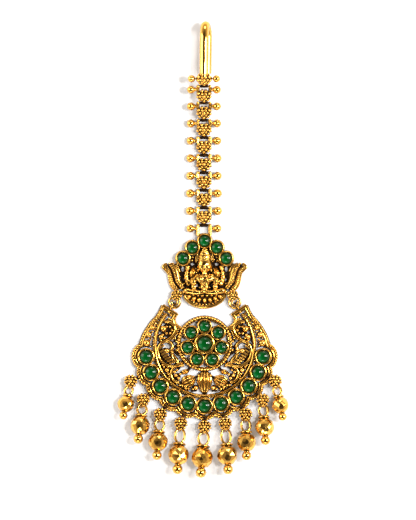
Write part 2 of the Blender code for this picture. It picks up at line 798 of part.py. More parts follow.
def chain():
    """The links from the crest panel up; the last ones climb to the hook."""
    foot, height = CHAIN_FOOT, LINK_HEIGHT
    flat_links = LINK_COUNT - len(LINK_SLOPES)
    slopes = [0.0] * flat_links + list(LINK_SLOPES)
    for index, slope in enumerate(slopes):
        share = index / LINK_COUNT
        reach = BALL_REACH_END + (BALL_REACH_TOP - BALL_REACH_END) * share
        radius = BALL_RADIUS_END + (BALL_RADIUS_TOP - BALL_RADIUS_END) * share
        frame = hinge_frame(foot, height, slope)
        pieces = link_flower() + hinge(LINK_PITCH, reach, radius, FLOWER_ALONG + 0.2 * MM)
        fused(f"chain_link_{index + 1}", placed(pieces, frame), ANTIQUE_GOLD)
        foot += LINK_PITCH * math.cos(math.radians(slope))
        height += LINK_PITCH * math.sin(math.radians(slope))
    return foot, height


def hair_hook(foot, height):
    frame = hinge_frame(foot, height, HOOK_SLOPE)
    pieces = link_flower()
    for side in (-1, 1):
        arm = [(0.0, FLOWER_ALONG, 0.0), (side * BALL_REACH_TOP, FLOWER_ALONG, 0.0)]
        pieces.append(tube(arm, RAIL_RADIUS))
        pieces.append(ball((side * BALL_REACH_TOP, FLOWER_ALONG, 0.2 * MM), BALL_RADIUS_TOP, 8))
    placed(pieces, frame)
    knots = [(CHAIN_X + x, foot + y, height + z) for x, y, z in HOOK_FRONT]
    knots += [(CHAIN_X + x, foot + y, HOOK_WIRE + HOOK_REST + z) for x, y, z in HOOK_BACK]
    pieces.append(tube(smooth(knots, 1), HOOK_WIRE, HOOK_SIDES))
    return fused("hair_hook", pieces, BRIGHT_GOLD)


# Crest panel


def closed_outline(half):
    """A whole outline from its right half, top to bottom on the middle line."""
    return [*half, *[(-x, y) for x, y in reversed(half) if x != 0.0]]


def shrunk(outline, share, height):
    middle = sum((Vector(point) for point in outline), Vector((0.0, 0.0))) / len(outline)
    return [(*(middle + (Vector(point) - middle) * share), height) for point in outline]


def domed(outline, levels):
    return loft([shrunk(outline, share, height) for share, height in levels])


def figure():
    """The seated lotus figure: halo, crowned head, trunk and four arms."""
    halo = arc(HALO_CENTRE, HALO_RADIUS, HALO_HALF_GAP, 360.0 - HALO_HALF_GAP, 10)
    pieces = [
        strip(halo, HALO_WIDTH, BACK_GAP, HALO_HEIGHT),
        ball((0.0, CROWN.y, CROWN.z), CROWN.radius, 8, CROWN.squash),
        ball((0.0, HEAD.y, HEAD.z), HEAD.radius, 10, HEAD.squash),
        ball((0.0, TRUNK.y, TRUNK.z), TRUNK.radius, 8, TRUNK.squash),
    ]
    for side in (-1, 1):
        rear = mirrored(REAR_ARM, side)
        front = mirrored(FRONT_ARM, side)
        pieces.append(tube([(*point, REAR_ARM_HEIGHT) for point in rear], REAR_ARM_RADIUS, 6))
        pieces.append(tube([(*point, FRONT_ARM_HEIGHT) for point in front], FRONT_ARM_RADIUS, 6))
        pieces.append(ball((side * BUD_X, BUD.y, BUD.z), BUD.radius, 8, BUD.squash))
        pieces.append(strip(mirrored(BUD_STEM, side), BUD_STEM_WIDTH, *BUD_STEM_SPAN))
        pieces.append(strip(mirrored(HALO_STRUT, side), HALO_STRUT_WIDTH, *HALO_STRUT_SPAN))
    return pieces


def crest_panel():
    places = crest_places()
    band = sorted(places, key=lambda place: place.x)
    pieces = [strip(band, BAND_WIDTH, 0.0, BAND_HEIGHT)]
    pieces += [cup(place, CREST_STONE) for place in places]
    pieces += figure()
    bowl = closed_outline(BOWL_OUTLINE)
    pieces.append(domed(bowl, ((0.93, 0.0), (1.0, 0.9 * MM), (0.97, 1.7 * MM), (0.7, 2.5 * MM))))
    for side in (-1, 1):
        wing = mirrored(WING_OUTLINE, side)
        pieces.append(domed(wing, ((0.95, 0.03 * MM), (1.0, 0.7 * MM), (0.8, 1.5 * MM))))
        pieces.append(strip(mirrored(WING_RIDGE, side), 0.6 * MM, 0.3 * MM, 2.0 * MM))
        corner = Vector((side * CORNER_PLACE[0], CORNER_PLACE[1]))
        jump = Vector((side * JUMP_PLACE[0], JUMP_PLACE[1]))
        along = (jump - corner).normalized()
        pieces.append(rosette(corner, CORNER_RADIUS, FLOWER_BOTTOM, FLOWER_TOP, 6))
        root = [corner, Vector((side * CORNER_ROOT[0], CORNER_ROOT[1]))]
        pieces.append(strip(root, CORNER_ROOT_WIDTH, NECK_BOTTOM, FLOWER_BOTTOM + BACK_GAP))
        pieces.append(upright_hoop(jump - along * JUMP_RADIUS, along))
    foot = CREST_TOP + FOOT_BAR_ABOVE
    bar = [(-RAIL_X, foot), (RAIL_X, foot)]
    pieces.append(strip(bar, FOOT_BAR_WIDTH, 0.1 * MM, CREST_STONE.seat - 0.05 * MM))
    top_hinge = hinge(0.0, BALL_REACH_END, BALL_RADIUS_END, foot - FOOT_BAR_WIDTH * 0.65 - CHAIN_FOOT)
    pieces += placed(top_hinge, hinge_frame(CHAIN_FOOT, LINK_HEIGHT, 0.0))
    return fused("crest_panel", pieces, ANTIQUE_GOLD)


crescent()
crest_panel()
hair_hook(*chain())
for side, word in ((-1, "left"), (1, "right")):
    jump = (side * JUMP_PLACE[0], JUMP_PLACE[1], JUMP_HEIGHT)
    fused(f"jump_ring_{word}", [ring(jump, JUMP_RADIUS, JUMP_WIRE, (0, 0, 1), 12)], BRIGHT_GOLD)
for index, drop in enumerate(DROPS):
    drop_bead(f"drop_bead_{index + 1}", drop)
for index, place in enumerate(rim_places()):
    cabochon(f"rim_stone_{index + 1:02d}", place, RIM_STONE)
for index, place in enumerate(petal_places()):
    cabochon(f"medallion_stone_{index + 1}", place, PETAL_STONE)
cabochon("medallion_heart_stone", MEDALLION_CENTRE, HEART_STONE)
for index, place in enumerate(crest_places()):
    cabochon(f"crest_stone_{index + 1}", place, CREST_STONE)
bpy.data.collections.remove(WORKSHOP)
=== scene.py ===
"""The maang tikka, dressed: wirework, granulation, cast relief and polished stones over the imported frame.

It lies face up on a pale table, seen from straight above. Lengths are in metres and are written as
millimetres times MM. Tables of knots, forms and grains hold millimetres, and angles are in degrees.
"""

import json
import math
import random
from collections import namedtuple

import bmesh
import bpy
from mathutils import Matrix, Vector

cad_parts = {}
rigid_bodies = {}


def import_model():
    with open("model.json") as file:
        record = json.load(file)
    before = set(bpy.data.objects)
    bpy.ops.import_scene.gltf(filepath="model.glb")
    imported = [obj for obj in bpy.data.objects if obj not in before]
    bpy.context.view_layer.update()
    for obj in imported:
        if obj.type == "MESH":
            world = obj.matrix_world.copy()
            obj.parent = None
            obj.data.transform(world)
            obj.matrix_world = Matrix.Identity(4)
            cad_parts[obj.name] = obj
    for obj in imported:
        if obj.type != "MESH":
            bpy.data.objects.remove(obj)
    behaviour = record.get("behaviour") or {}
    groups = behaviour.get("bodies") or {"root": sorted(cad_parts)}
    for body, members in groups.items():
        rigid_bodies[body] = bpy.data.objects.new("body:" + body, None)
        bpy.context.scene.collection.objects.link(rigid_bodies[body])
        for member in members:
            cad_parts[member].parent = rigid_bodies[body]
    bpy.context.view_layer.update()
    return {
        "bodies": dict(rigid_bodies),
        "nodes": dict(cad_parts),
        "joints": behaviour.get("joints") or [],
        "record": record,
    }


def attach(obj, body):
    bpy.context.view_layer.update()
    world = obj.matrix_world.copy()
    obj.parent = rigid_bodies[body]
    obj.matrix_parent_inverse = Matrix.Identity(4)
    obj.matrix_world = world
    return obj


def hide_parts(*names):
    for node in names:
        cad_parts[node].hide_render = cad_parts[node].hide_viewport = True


MM = 0.001
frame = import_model()


def linked(name, data):
    """A new object in the scene."""
    made = bpy.data.objects.new(name, data)
    bpy.context.scene.collection.objects.link(made)
    return made


def taken(helper):
    """The mesh that a helper object comes to; the helper goes."""
    bpy.context.view_layer.update()
    graph = bpy.context.evaluated_depsgraph_get()
    mesh = bpy.data.meshes.new_from_object(helper.evaluated_get(graph))
    bpy.data.objects.remove(helper)
    return mesh


# Node trees


class Wire:
    """A socket of a node tree, with arithmetic that adds Math nodes."""

    def __init__(self, bench, socket):
        self.bench = bench
        self.socket = socket

    def _math(self, operation, other, swapped=False):
        pair = (other, self) if swapped else (self, other)
        return self.bench.node("ShaderNodeMath", {"operation": operation}, pair)

    def __add__(self, other):
        return self._math("ADD", other)

    __radd__ = __add__

    def __sub__(self, other):
        return self._math("SUBTRACT", other)

    def __rsub__(self, other):
        return self._math("SUBTRACT", other, swapped=True)

    def __mul__(self, other):
        return self._math("MULTIPLY", other)

    __rmul__ = __mul__

    def __truediv__(self, other):
        return self._math("DIVIDE", other)


class Bench:
    """Lays nodes in one tree."""

    def __init__(self, tree):
        self.tree = tree

    def node(self, kind, settings=None, inputs=(), output=0):
        """A node with its settings first, then its sockets' values or links; returns one output."""
        made = self.tree.nodes.new(kind)
        for name, value in (settings or {}).items():
            setattr(made, name, value)
        pairs = inputs.items() if isinstance(inputs, dict) else enumerate(inputs)
        for key, value in pairs:
            self.feed(made.inputs[key], value)
        return Wire(self, made.outputs[output])

    def feed(self, socket, value):
        if isinstance(value, Wire):
            self.tree.links.new(value.socket, socket)
        elif value is not None:
            socket.default_value = value

    def ramp(self, value, stops):
        made = self.tree.nodes.new("ShaderNodeValToRGB")
        band = made.color_ramp
        while len(band.elements) < len(stops):
            band.elements.new(0.5)
        for element, (place, colour) in zip(band.elements, stops):
            element.position = place
            element.color = (*colour, 1.0)
        self.feed(made.inputs[0], value)
        return Wire(self, made.outputs[0])

    def blend(self, share, low, high):
        """A colour mix; low and high are colours or links."""
        low, high = ((*end, 1.0) if isinstance(end, tuple) else end for end in (low, high))
        return self.node("ShaderNodeMix", {"data_type": "RGBA"}, {0: share, 6: low, 7: high}, output=2)

    def clamp_range(self, value, low, high):
        """A soft step from 0 at low to 1 at high."""
        settings = {"interpolation_type": "SMOOTHSTEP"}
        return self.node("ShaderNodeMapRange", settings, {0: value, 1: low, 2: high})

    def noise(self, place, scale, detail=2.0):
        return self.node("ShaderNodeTexNoise", {}, {"Vector": place, "Scale": scale, "Detail": detail})

    def relief(self, height, strength, distance):
        inputs = {"Strength": strength, "Distance": distance, "Height": height}
        return self.node("ShaderNodeBump", {}, inputs)


def new_material(name):
    made = bpy.data.materials.new(name)
    made.use_nodes = True
    bench = Bench(made.node_tree)
    return made, bench, made.node_tree.nodes["Principled BSDF"]


# Finishes: two gilded ones, the blackened lower layer and the green stones. Noise scales are per metre.


SPECK_SCALE = 2200.0
GOLD_CLOUD_SCALE = 260.0
OXIDE_CLOUD_SCALE = 900.0
STONE_CLOUD_SCALE = 420.0


def gold(name, bright, shade, patina_and_shade, roughness, tarnish_and_shade, reach):
    """Plated metal; patina and painted shade darken it where neighbours or the table close in, and painted
    shade darkens sideways and downward faces.
    """
    made, bench, shader = new_material(name)
    place = bench.node("ShaderNodeTexCoord", output=3)
    normal = bench.node("ShaderNodeTexCoord", output=1)
    up = bench.node("ShaderNodeSeparateXYZ", {}, (normal,), output=2)
    cloud = bench.noise(place, GOLD_CLOUD_SCALE, 3.0)
    speck = bench.noise(place, SPECK_SCALE)
    # Ambient occlusion: patina in the hollows, and painted shade where the table beneath or neighbouring
    # parts close in
    openness = bench.node("ShaderNodeAmbientOcclusion", {"samples": 8}, {"Distance": reach}, output=1)
    open_to_cloth_and_light = bench.clamp_range(openness + (cloud - 0.5) * 0.25, tarnish_and_shade[0], tarnish_and_shade[1])
    # Painted shade: faces turned sideways or down are made darker
    painted_flank_shade = bench.clamp_range(up, 0.0, 0.55) * 0.6 + 0.4
    polished_and_lit = open_to_cloth_and_light * painted_flank_shade
    metal = bench.blend(cloud, shade, bright)
    bench.feed(shader.inputs["Base Color"], bench.blend(polished_and_lit, patina_and_shade, metal))
    bench.feed(shader.inputs["Metallic"], polished_and_lit * 0.3 + 0.7)
    rough = (1.0 - polished_and_lit) * 0.2 + cloud * 0.1 + (roughness - 0.05)
    bench.feed(shader.inputs["Roughness"], rough)
    bench.feed(shader.inputs["Normal"], bench.relief(speck + cloud, 0.1, 0.02 * MM))
    shader.inputs["Coat Weight"].default_value = 0.15
    shader.inputs["Coat Roughness"].default_value = 0.1
    return made


def oxide():
    """Blackened brown metal of the lower layers, which polishing doesn't reach."""
    made, bench, shader = new_material("oxidised_gold")
    place = bench.node("ShaderNodeTexCoord", output=3)
    cloud = bench.noise(place, OXIDE_CLOUD_SCALE, 3.0)
    rubbed = bench.clamp_range(cloud, 0.52, 0.75)
    colour = bench.blend(rubbed, (0.018, 0.007, 0.002), (0.13, 0.055, 0.012))
    bench.feed(shader.inputs["Base Color"], colour)
    bench.feed(shader.inputs["Roughness"], 0.7 - rubbed * 0.2)
    bench.feed(shader.inputs["Normal"], bench.relief(cloud, 0.3, 0.04 * MM))
    shader.inputs["Metallic"].default_value = 0.5
    shader.inputs["Specular IOR Level"].default_value = 0.15
    return made


def stone_green():
    """Dark green glass over foil, with a painted glow that is paler towards its shaded side, where light
    passing through the stone is painted in.
    """
    made, bench, shader = new_material("green_cabochon")
    painted_glow = bench.node("ShaderNodeAttribute", {"attribute_name": "painted_glow"}, output=2)
    place = bench.node("ShaderNodeTexCoord", output=3)
    cloud = bench.noise(place, STONE_CLOUD_SCALE)
    # The painted glow, with some cloud, sets how pale the green is
    depth = bench.clamp_range(painted_glow + (cloud - 0.5) * 0.25, 0.0, 1.0)
    stops = (
        (0.0, (0.0, 0.01, 0.001)),
        (0.35, (0.0, 0.032, 0.003)),
        (0.7, (0.0, 0.085, 0.01)),
        (1.0, (0.0, 0.22, 0.07)),
    )
    bench.feed(shader.inputs["Base Color"], bench.ramp(depth, stops))
    bench.feed(shader.inputs["Roughness"], cloud * 0.05 + 0.1)
    shader.inputs["IOR"].default_value = 1.45
    shader.inputs["Specular IOR Level"].default_value = 0.4
    return made


ANTIQUE = gold(
    "antique_gold",
    bright=(0.95, 0.55, 0.115),
    shade=(0.76, 0.36, 0.04),
    patina_and_shade=(0.02, 0.007, 0.001),
    roughness=0.16,
    tarnish_and_shade=(0.4, 0.85),
    reach=1.0 * MM,
)
BRIGHT = gold(
    "polished_gold",
    bright=(0.96, 0.57, 0.13),
    shade=(0.8, 0.4, 0.05),
    patina_and_shade=(0.035, 0.013, 0.003),
    roughness=0.11,
    tarnish_and_shade=(0.3, 0.8),
    reach=0.9 * MM,
)
GREEN = stone_green()
OXIDE = oxide()
PAINTS = (ANTIQUE, BRIGHT, GREEN, OXIDE)


# Geometry Nodes: granulation, plain wire, beaded wire and rope wire


class Tree(Bench):
    """A Geometry Nodes tree with named inputs."""

    def __init__(self, name, inputs):
        tree = bpy.data.node_groups.new(name, "GeometryNodeTree")
        super().__init__(tree)
        tree.interface.new_socket("Geometry", in_out="INPUT", socket_type="NodeSocketGeometry")
        for label, kind, value in inputs:
            socket = tree.interface.new_socket(label, in_out="INPUT", socket_type=f"NodeSocket{kind}")
            if value is not None:
                socket.default_value = value
        tree.interface.new_socket("Geometry", in_out="OUTPUT", socket_type="NodeSocketGeometry")
        self.source = tree.nodes.new("NodeGroupInput")
        self.sink = tree.nodes.new("NodeGroupOutput")

    def given(self, label):
        return Wire(self, self.source.outputs[label])

    def width(self):
        settings = {"data_type": "FLOAT"}
        return self.node("GeometryNodeInputNamedAttribute", settings, {"Name": "width"})

    def end(self, shape):
        whole = self.node("GeometryNodeRealizeInstances", {}, {0: shape})
        soft = self.node("GeometryNodeSetShadeSmooth", {}, {0: whole})
        painted = self.node("GeometryNodeSetMaterial", {}, {0: soft, "Material": self.given("Material")})
        self.feed(self.sink.inputs[0], painted)
        return self.tree

    def path(self):
        return self.node("GeometryNodeMeshToCurve", {}, {0: self.given("Geometry")})

    def even_path(self, step):
        inputs = {"Curve": self.path(), "Length": self.given(step)}
        return self.node("GeometryNodeResampleCurve", {"mode": "LENGTH"}, inputs)

    def grains_at(self, points):
        shape = {"Segments": self.given("Sides"), "Rings": self.given("Rings"), "Radius": 1.0}
        ball = self.node("GeometryNodeMeshUVSphere", {}, shape)
        inputs = {"Points": points, "Instance": ball, "Scale": self.width()}
        return self.node("GeometryNodeInstanceOnPoints", {}, inputs)

    def swept(self, path, sides, radius):
        ring = self.node("GeometryNodeCurvePrimitiveCircle", {}, {"Resolution": sides, "Radius": 1.0})
        inputs = {0: path, 1: ring, "Scale": radius, "Fill Caps": True}
        return self.node("GeometryNodeCurveToMesh", {}, inputs)


MATERIAL_INPUT = ("Material", "Material", None)
STRAND_SIDES = 7
STRAND_WIDTH = 0.56


def granulation_tree():
    """A ball at every point."""
    tree = Tree("granulation", (MATERIAL_INPUT, ("Sides", "Int", 13), ("Rings", "Int", 8)))
    return tree.end(tree.grains_at(tree.given("Geometry")))


def wire_tree():
    """A round wire along a path."""
    tree = Tree("plain wire", (MATERIAL_INPUT, ("Sides", "Int", 10)))
    return tree.end(tree.swept(tree.path(), tree.given("Sides"), tree.width()))


def beaded_tree():
    """Balls at even steps along a path."""
    sizes = (("Sides", "Int", 10), ("Rings", "Int", 6), ("Pitch", "Float", 0.5 * MM))
    tree = Tree("beaded wire", (MATERIAL_INPUT, *sizes))
    return tree.end(tree.grains_at(tree.even_path("Pitch")))


def rope_tree():
    """Two round strands laid round a path."""
    tree = Tree("rope wire", (MATERIAL_INPUT, ("Step", "Float", 0.1 * MM), ("Lay", "Float", 0.9 * MM)))
    even = tree.even_path("Step")
    run = tree.node("GeometryNodeSplineParameter", output=1)
    normal = tree.node("GeometryNodeInputNormal")
    along = tree.node("GeometryNodeInputTangent")
    side = tree.node("ShaderNodeVectorMath", {"operation": "CROSS_PRODUCT"}, (along, normal))
    strands = tree.tree.nodes.new("GeometryNodeJoinGeometry")
    half = tree.width() * 0.5
    for phase in (0.0, math.pi):
        angle = run / tree.given("Lay") * (2 * math.pi) + phase
        across = tree.node("ShaderNodeMath", {"operation": "COSINE"}, (angle,)) * half
        up = tree.node("ShaderNodeMath", {"operation": "SINE"}, (angle,)) * half
        first = tree.node("ShaderNodeVectorMath", {"operation": "SCALE"}, {0: normal, "Scale": across})
        second = tree.node("ShaderNodeVectorMath", {"operation": "SCALE"}, {0: side, "Scale": up})
        offset = tree.node("ShaderNodeVectorMath", {"operation": "ADD"}, (first, second))
        laid = tree.node("GeometryNodeSetPosition", {}, {0: even, "Offset": offset})
        strand = tree.swept(laid, STRAND_SIDES, tree.width() * STRAND_WIDTH)
        tree.tree.links.new(strand.socket, strands.inputs[0])
    return tree.end(Wire(tree, strands.outputs[0]))


GRANULATION = granulation_tree()
PLAIN_WIRE = wire_tree()
BEADED_WIRE = beaded_tree()
ROPE_WIRE = rope_tree()


def grown(tree, points, edges, widths, material, values=None):
    """The mesh that a tree makes of a skeleton of points and edges."""
    bones = bpy.data.meshes.new("bones")
    bones.from_pydata(points, edges, [])
    thickness = bones.attributes.new("width", "FLOAT", "POINT")
    thickness.data.foreach_set("value", widths)
    carrier = linked("bones", bones)
    maker = carrier.modifiers.new("maker", "NODES")
    maker.node_group = tree
    wanted = {"Material": material, **(values or {})}
    for item in tree.interface.items_tree:
        if item.in_out == "INPUT" and item.name in wanted:
            maker[item.identifier] = wanted[item.name]
    return taken(carrier)


# A piece gathers its parts, and is joined into one mesh


class Piece:
    """One visible piece: solids, wires and grains, each in its finish."""

    def __init__(self, name, metal=ANTIQUE):
        self.name = name
        self.metal = metal
        self.grains = []
        self.runs = {}
        self.parts = []

    def grain(self, x, y, z, radius):
        self.grains.append((x, y, z, radius))

    def run(self, tree, path, width, closed=False, paint=None, **values):
        """A stretch of wire along path, made by a tree."""
        key = (tree, paint or self.metal, tuple(sorted(values.items())))
        points, edges, widths = self.runs.setdefault(key, ([], [], []))
        first = len(points)
        points.extend(tuple(point) for point in path)
        widths.extend([width] * len(path))
        edges.extend((first + i, first + i + 1) for i in range(len(path) - 1))
        if closed:
            edges.append((first + len(path) - 1, first))

    def wire(self, path, width, closed=False, sides=10):
        self.run(PLAIN_WIRE, path, width, closed, Sides=sides)

    def rope(self, path, width, closed=False):
        self.run(ROPE_WIRE, path, width, closed, Lay=3.6 * width, Step=0.52 * width)

    def beads(self, path, width, closed=False, pitch=1.9):
        self.run(BEADED_WIRE, path, width, closed, Pitch=pitch * width)

    def base(self, path, width, height=0.45 * MM, closed=False):
        """A blackened wire of the lower layer, under the bright ones and above the back plane."""
        self.run(PLAIN_WIRE, lifted(path, max(height, width)), width, closed, OXIDE, Sides=6)

    def solid(self, mesh, paint=None):
        self.parts.append((mesh, paint or self.metal))

    def made(self, nodes, slot):
        """Joins the parts, and stands the piece in for its CAD nodes."""
        if self.grains:
            places = [grain[:3] for grain in self.grains]
            sizes = [grain[3] for grain in self.grains]
            self.parts.append((grown(GRANULATION, places, [], sizes, self.metal), self.metal))
        for (tree, paint, values), (points, edges, widths) in self.runs.items():
            self.parts.append((grown(tree, points, edges, widths, paint, dict(values)), paint))
        whole = bmesh.new()
        done = 0
        for mesh, paint in self.parts:
            mesh.materials.clear()
            whole.from_mesh(mesh)
            whole.faces.ensure_lookup_table()
            for face in whole.faces[done:]:
                face.material_index = PAINTS.index(paint)
            done = len(whole.faces)
        mesh = bpy.data.meshes.new(self.name)
        whole.to_mesh(mesh)
        whole.free()
        for paint in PAINTS:
            mesh.materials.append(paint)
        piece = linked(self.name, mesh)
        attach(piece, "root")
        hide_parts(*nodes)
        return piece


# Shapes


def polar(centre, radius, angle):
    """A point at an angle from straight down, positive to the right."""
    turn = math.radians(angle)
    return Vector((centre[0] + radius * math.sin(turn), centre[1] - radius * math.cos(turn)))


def lifted(path, height):
    return [Vector((point[0], point[1], height)) for point in path]


def arc(centre, radius, start, end, steps):
    return [polar(centre, radius, start + (end - start) * i / steps) for i in range(steps + 1)]


def round_path(centre, radius, steps=48):
    return arc(centre, radius, 0.0, 360.0, steps)[:-1]


def ring_angles(sides):
    return [2 * math.pi * i / sides for i in range(sides)]


def mirrored(points, side):
    """Points of a millimetre table, on the right or the left side."""
    return [Vector((side * x * MM, y * MM)) for x, y in points]


def smooth(knots, steps=8):
    """Points of a Catmull-Rom curve through knots."""
    padded = [knots[0], *knots, knots[-1]]
    points = []
    for a, b, c, d in zip(padded, padded[1:], padded[2:], padded[3:]):
        a, b, c, d = Vector(a), Vector(b), Vector(c), Vector(d)
        for i in range(steps):
            t = i / steps
            bend = (a * 2 - b * 5 + c * 4 - d) * t**2
            twist = (b * 3 - a - c * 3 + d) * t**3
            points.append((b * 2 + (c - a) * t + bend + twist) / 2)
    return [*points, Vector(knots[-1])]


def offset_path(path, distance):
    """The same path, moved sideways to its left."""
    moved = []
    for i, point in enumerate(path):
        before, after = path[max(i - 1, 0)], path[min(i + 1, len(path) - 1)]
        run = (Vector(after[:2]) - Vector(before[:2])).normalized()
        moved.append(Vector((point[0] - run.y * distance, point[1] + run.x * distance)))
    return moved


def skin(rows, caps=False):
    """A smooth mesh through closed rows of as many points each."""
    count = len(rows[0])
    points = [tuple(point) for row in rows for point in row]
    faces = []
    for r in range(len(rows) - 1):
        for i in range(count):
            j = (i + 1) % count
            faces.append((r * count + i, r * count + j, (r + 1) * count + j, (r + 1) * count + i))
    if caps:
        faces.append(tuple(range(count - 1, -1, -1)))
        faces.append(tuple(range((len(rows) - 1) * count, len(rows) * count)))
    mesh = bpy.data.meshes.new("skin")
    mesh.from_pydata(points, [], faces)
    shell = bmesh.new()
    shell.from_mesh(mesh)
    bmesh.ops.remove_doubles(shell, verts=shell.verts, dist=0.002 * MM)
    bmesh.ops.recalc_face_normals(shell, faces=shell.faces)
    shell.to_mesh(mesh)
    shell.free()
    mesh.shade_smooth()
    return mesh


def turned(profile, sides, place=Matrix.Identity(4)):
    """A turned form from (radius, height) points."""
    rows = []
    for radius, height in profile:
        around = [(radius * math.cos(angle), radius * math.sin(angle)) for angle in ring_angles(sides)]
        rows.append([place @ Vector((x, y, height)) for x, y in around])
    return skin(rows)


def leaf(centre, length, width, height, turn, ribs=5, base=0.2 * MM, tip=0.75, furrow=0.22, full=0.5):
    """A plump form with ribs along it, its tip towards turn degrees from straight down.

    A larger tip makes its ends more pointed, furrow deepens the lines between its ribs, and full says how
    far along it is widest.
    """
    away = polar((0, 0), 1.0, turn)
    across = Vector((-away.y, away.x))
    steps, sides = 18, 25
    rows = []
    for i in range(steps + 1):
        s = i / steps
        bend = s ** (math.log(0.5) / math.log(full))
        reach = math.sin(math.pi * bend) ** tip if 0 < i < steps else 0.02
        row = []
        for j in range(sides):
            t = -1 + 2 * j / (sides - 1)
            spot = Vector(centre) + away * (s - 0.5) * length + across * t * width / 2 * reach
            crown = math.sqrt(max(0.0, 1 - t * t)) * (0.35 + 0.65 * reach)
            rib = 1 - furrow * (0.5 - 0.5 * math.cos(2 * math.pi * ribs * (t + 1) / 2))
            row.append(Vector((spot.x, spot.y, base + height * crown * rib * reach**0.5)))
        rows.append([*row, *[Vector((p.x, p.y, base - 0.05 * MM)) for p in (row[-1], row[0])]])
    return skin(rows, caps=True)


QUARTER_TURN = Matrix.Rotation(math.pi / 2, 4, "Y")


def profile_of(table, radius=MM):
    """Points of a turned form, from shares of radius (or millimetres, without one) and millimetres up."""
    return [(share * radius, height * MM) for share, height in table]


def joint_turn(foot, height, slope):
    """The frame of a hinge on the chain's line, tipped up by slope degrees."""
    return Matrix.Translation((CHAIN_X, foot, height)) @ Matrix.Rotation(math.radians(slope), 4, "X")


# Stones and cups


Stone = namedtuple("Stone", "radius cup lip dome")
RIM_STONE = Stone(radius=2.0 * MM, cup=2.6 * MM, lip=1.9 * MM, dome=1.15 * MM)
PETAL_STONE = Stone(radius=1.75 * MM, cup=2.24 * MM, lip=2.0 * MM, dome=1.1 * MM)
HEART_STONE = Stone(radius=2.3 * MM, cup=3.1 * MM, lip=2.4 * MM, dome=1.4 * MM)
CREST_STONE = Stone(radius=1.8 * MM, cup=2.25 * MM, lip=2.1 * MM, dome=1.1 * MM)
CUP_FLOOR = 0.72 * MM
CUP_SIDES = 36
COLLAR_RISE = 0.42 * MM
COLLAR_STEPS = 8
STONE_FOOT = 0.84 * MM
STONE_SIDES = 40
STONE_ROWS = 12


def bezel(piece, place, stone):
    """A cup with a rounded collar of wire round the stone."""
    inner = stone.radius - 0.1 * MM
    wall = stone.cup - inner
    neck = stone.cup * 0.97
    profile = [(0.0, CUP_FLOOR), (inner, CUP_FLOOR), (inner, stone.lip)]
    for step in range(COLLAR_STEPS + 1):
        turn = math.pi * step / COLLAR_STEPS
        reach = inner + wall * 0.5 * (1 - math.cos(turn))
        profile.append((reach, stone.lip - 0.05 * MM + COLLAR_RISE * math.sin(turn)))
    profile += [(stone.cup, stone.lip - 0.4 * MM), (neck, stone.lip - 0.6 * MM), (neck, 0.0), (0.0, 0.0)]
    piece.solid(turned(profile, CUP_SIDES, Matrix.Translation((place[0], place[1], 0.0))))


def cabochon(name, place, stone):
    """A polished dome; its painted glow gathers low on the left, where light that entered would come out,
    and painted shade darkens it towards the rim.
    """
    girdle = stone.radius - 0.13 * MM
    profile = []
    for i in range(STONE_ROWS + 1):
        lean = math.pi / 2 * i / STONE_ROWS
        profile.append((girdle * math.sin(lean), stone.lip + 0.05 * MM + stone.dome * math.cos(lean)))
    profile += [(girdle, STONE_FOOT), (0.0, STONE_FOOT)]
    mesh = turned(profile, STONE_SIDES)
    mesh.transform(Matrix.Translation((place[0], place[1], 0.0)))
    layer = mesh.attributes.new("painted_glow", "FLOAT", "POINT")
    painted_glows = []
    for vertex in mesh.vertices:
        dx = (vertex.co.x - place[0]) / girdle
        dy = (vertex.co.y - place[1]) / girdle
        edge = min(1.0, math.hypot(dx, dy))
        left = 0.5 + 0.5 * (-dx * 0.8 - dy * 0.3)
        low = max(0.0, -dx * 0.4 - dy * 0.9)
        # Painted light: paler low on the left, and painted shade towards the rim
        painted_glows.append((0.3 + 0.45 * left * (1 - edge**6) + 0.5 * low * edge**2) * (1 - 0.75 * edge**9))
    layer.data.foreach_set("value", painted_glows)
    mesh.materials.append(GREEN)
    piece = linked(f"{name}_polished", mesh)
    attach(piece, "root")
    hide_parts(name)


BerryRing = namedtuple("BerryRing", "count reach rise size")
BERRY_RINGS = (
    BerryRing(count=6, reach=0.44, rise=0.2, size=0.2),
    BerryRing(count=9, reach=0.77, rise=-0.04, size=0.225),
    BerryRing(count=12, reach=0.86, rise=-0.32, size=0.16),
)
BERRY_CORE = ((0.0, -0.02), (0.6, -0.02), (0.8, -0.3), (0.7, -0.5), (0.0, -0.5))


def granule_flower(piece, place, radius, height, squash=1.0, frame=None):
    """A berry of grains about a dark core: one on top, then the rings; height is its middle's."""
    frame = frame or Matrix.Identity(4)
    spots = [(0.0, 0.0, height + 0.34 * radius, 0.25 * radius)]
    for count, reach, rise, size in BERRY_RINGS:
        for i in range(count):
            angle = 2 * math.pi * (i + 0.5) / count + math.pi / 2
            spots.append((reach * radius, angle, height + rise * radius, size * radius))
    for reach, angle, z, size in spots:
        x = place[0] + reach * math.cos(angle)
        y = place[1] + squash * reach * math.sin(angle)
        piece.grain(*(frame @ Vector((x, y, z))), size)
    core = [(reach * radius, height + rise * radius) for reach, rise in BERRY_CORE]
    middle = frame @ Matrix.Translation((place[0], place[1], 0.0))
    piece.solid(turned(core, 24, middle @ Matrix.Diagonal((1.0, squash, 1.0, 1.0))), OXIDE)


# Crescent pendant


CRESCENT = Vector((0.0, -0.9 * MM))
MEDALLION = Vector((0.0, 0.0))
ARC_RADIUS = 14.92 * MM
STONE_ARC = 17.78 * MM
RIM_STEP = 16.05
RIM_STONES = 11
# How much further the outermost lobes run on, down to the horns
RIM_END_TURN = 24.0
SCALLOP = 3.75 * MM
SCALLOP_ROPE = 3.98 * MM
SCALLOP_WIRE = 3.2 * MM
PETALS = 7
PETAL_STEP = 360.0 / PETALS
PETAL_RING = 5.2 * MM
MILGRAIN = 7.85 * MM


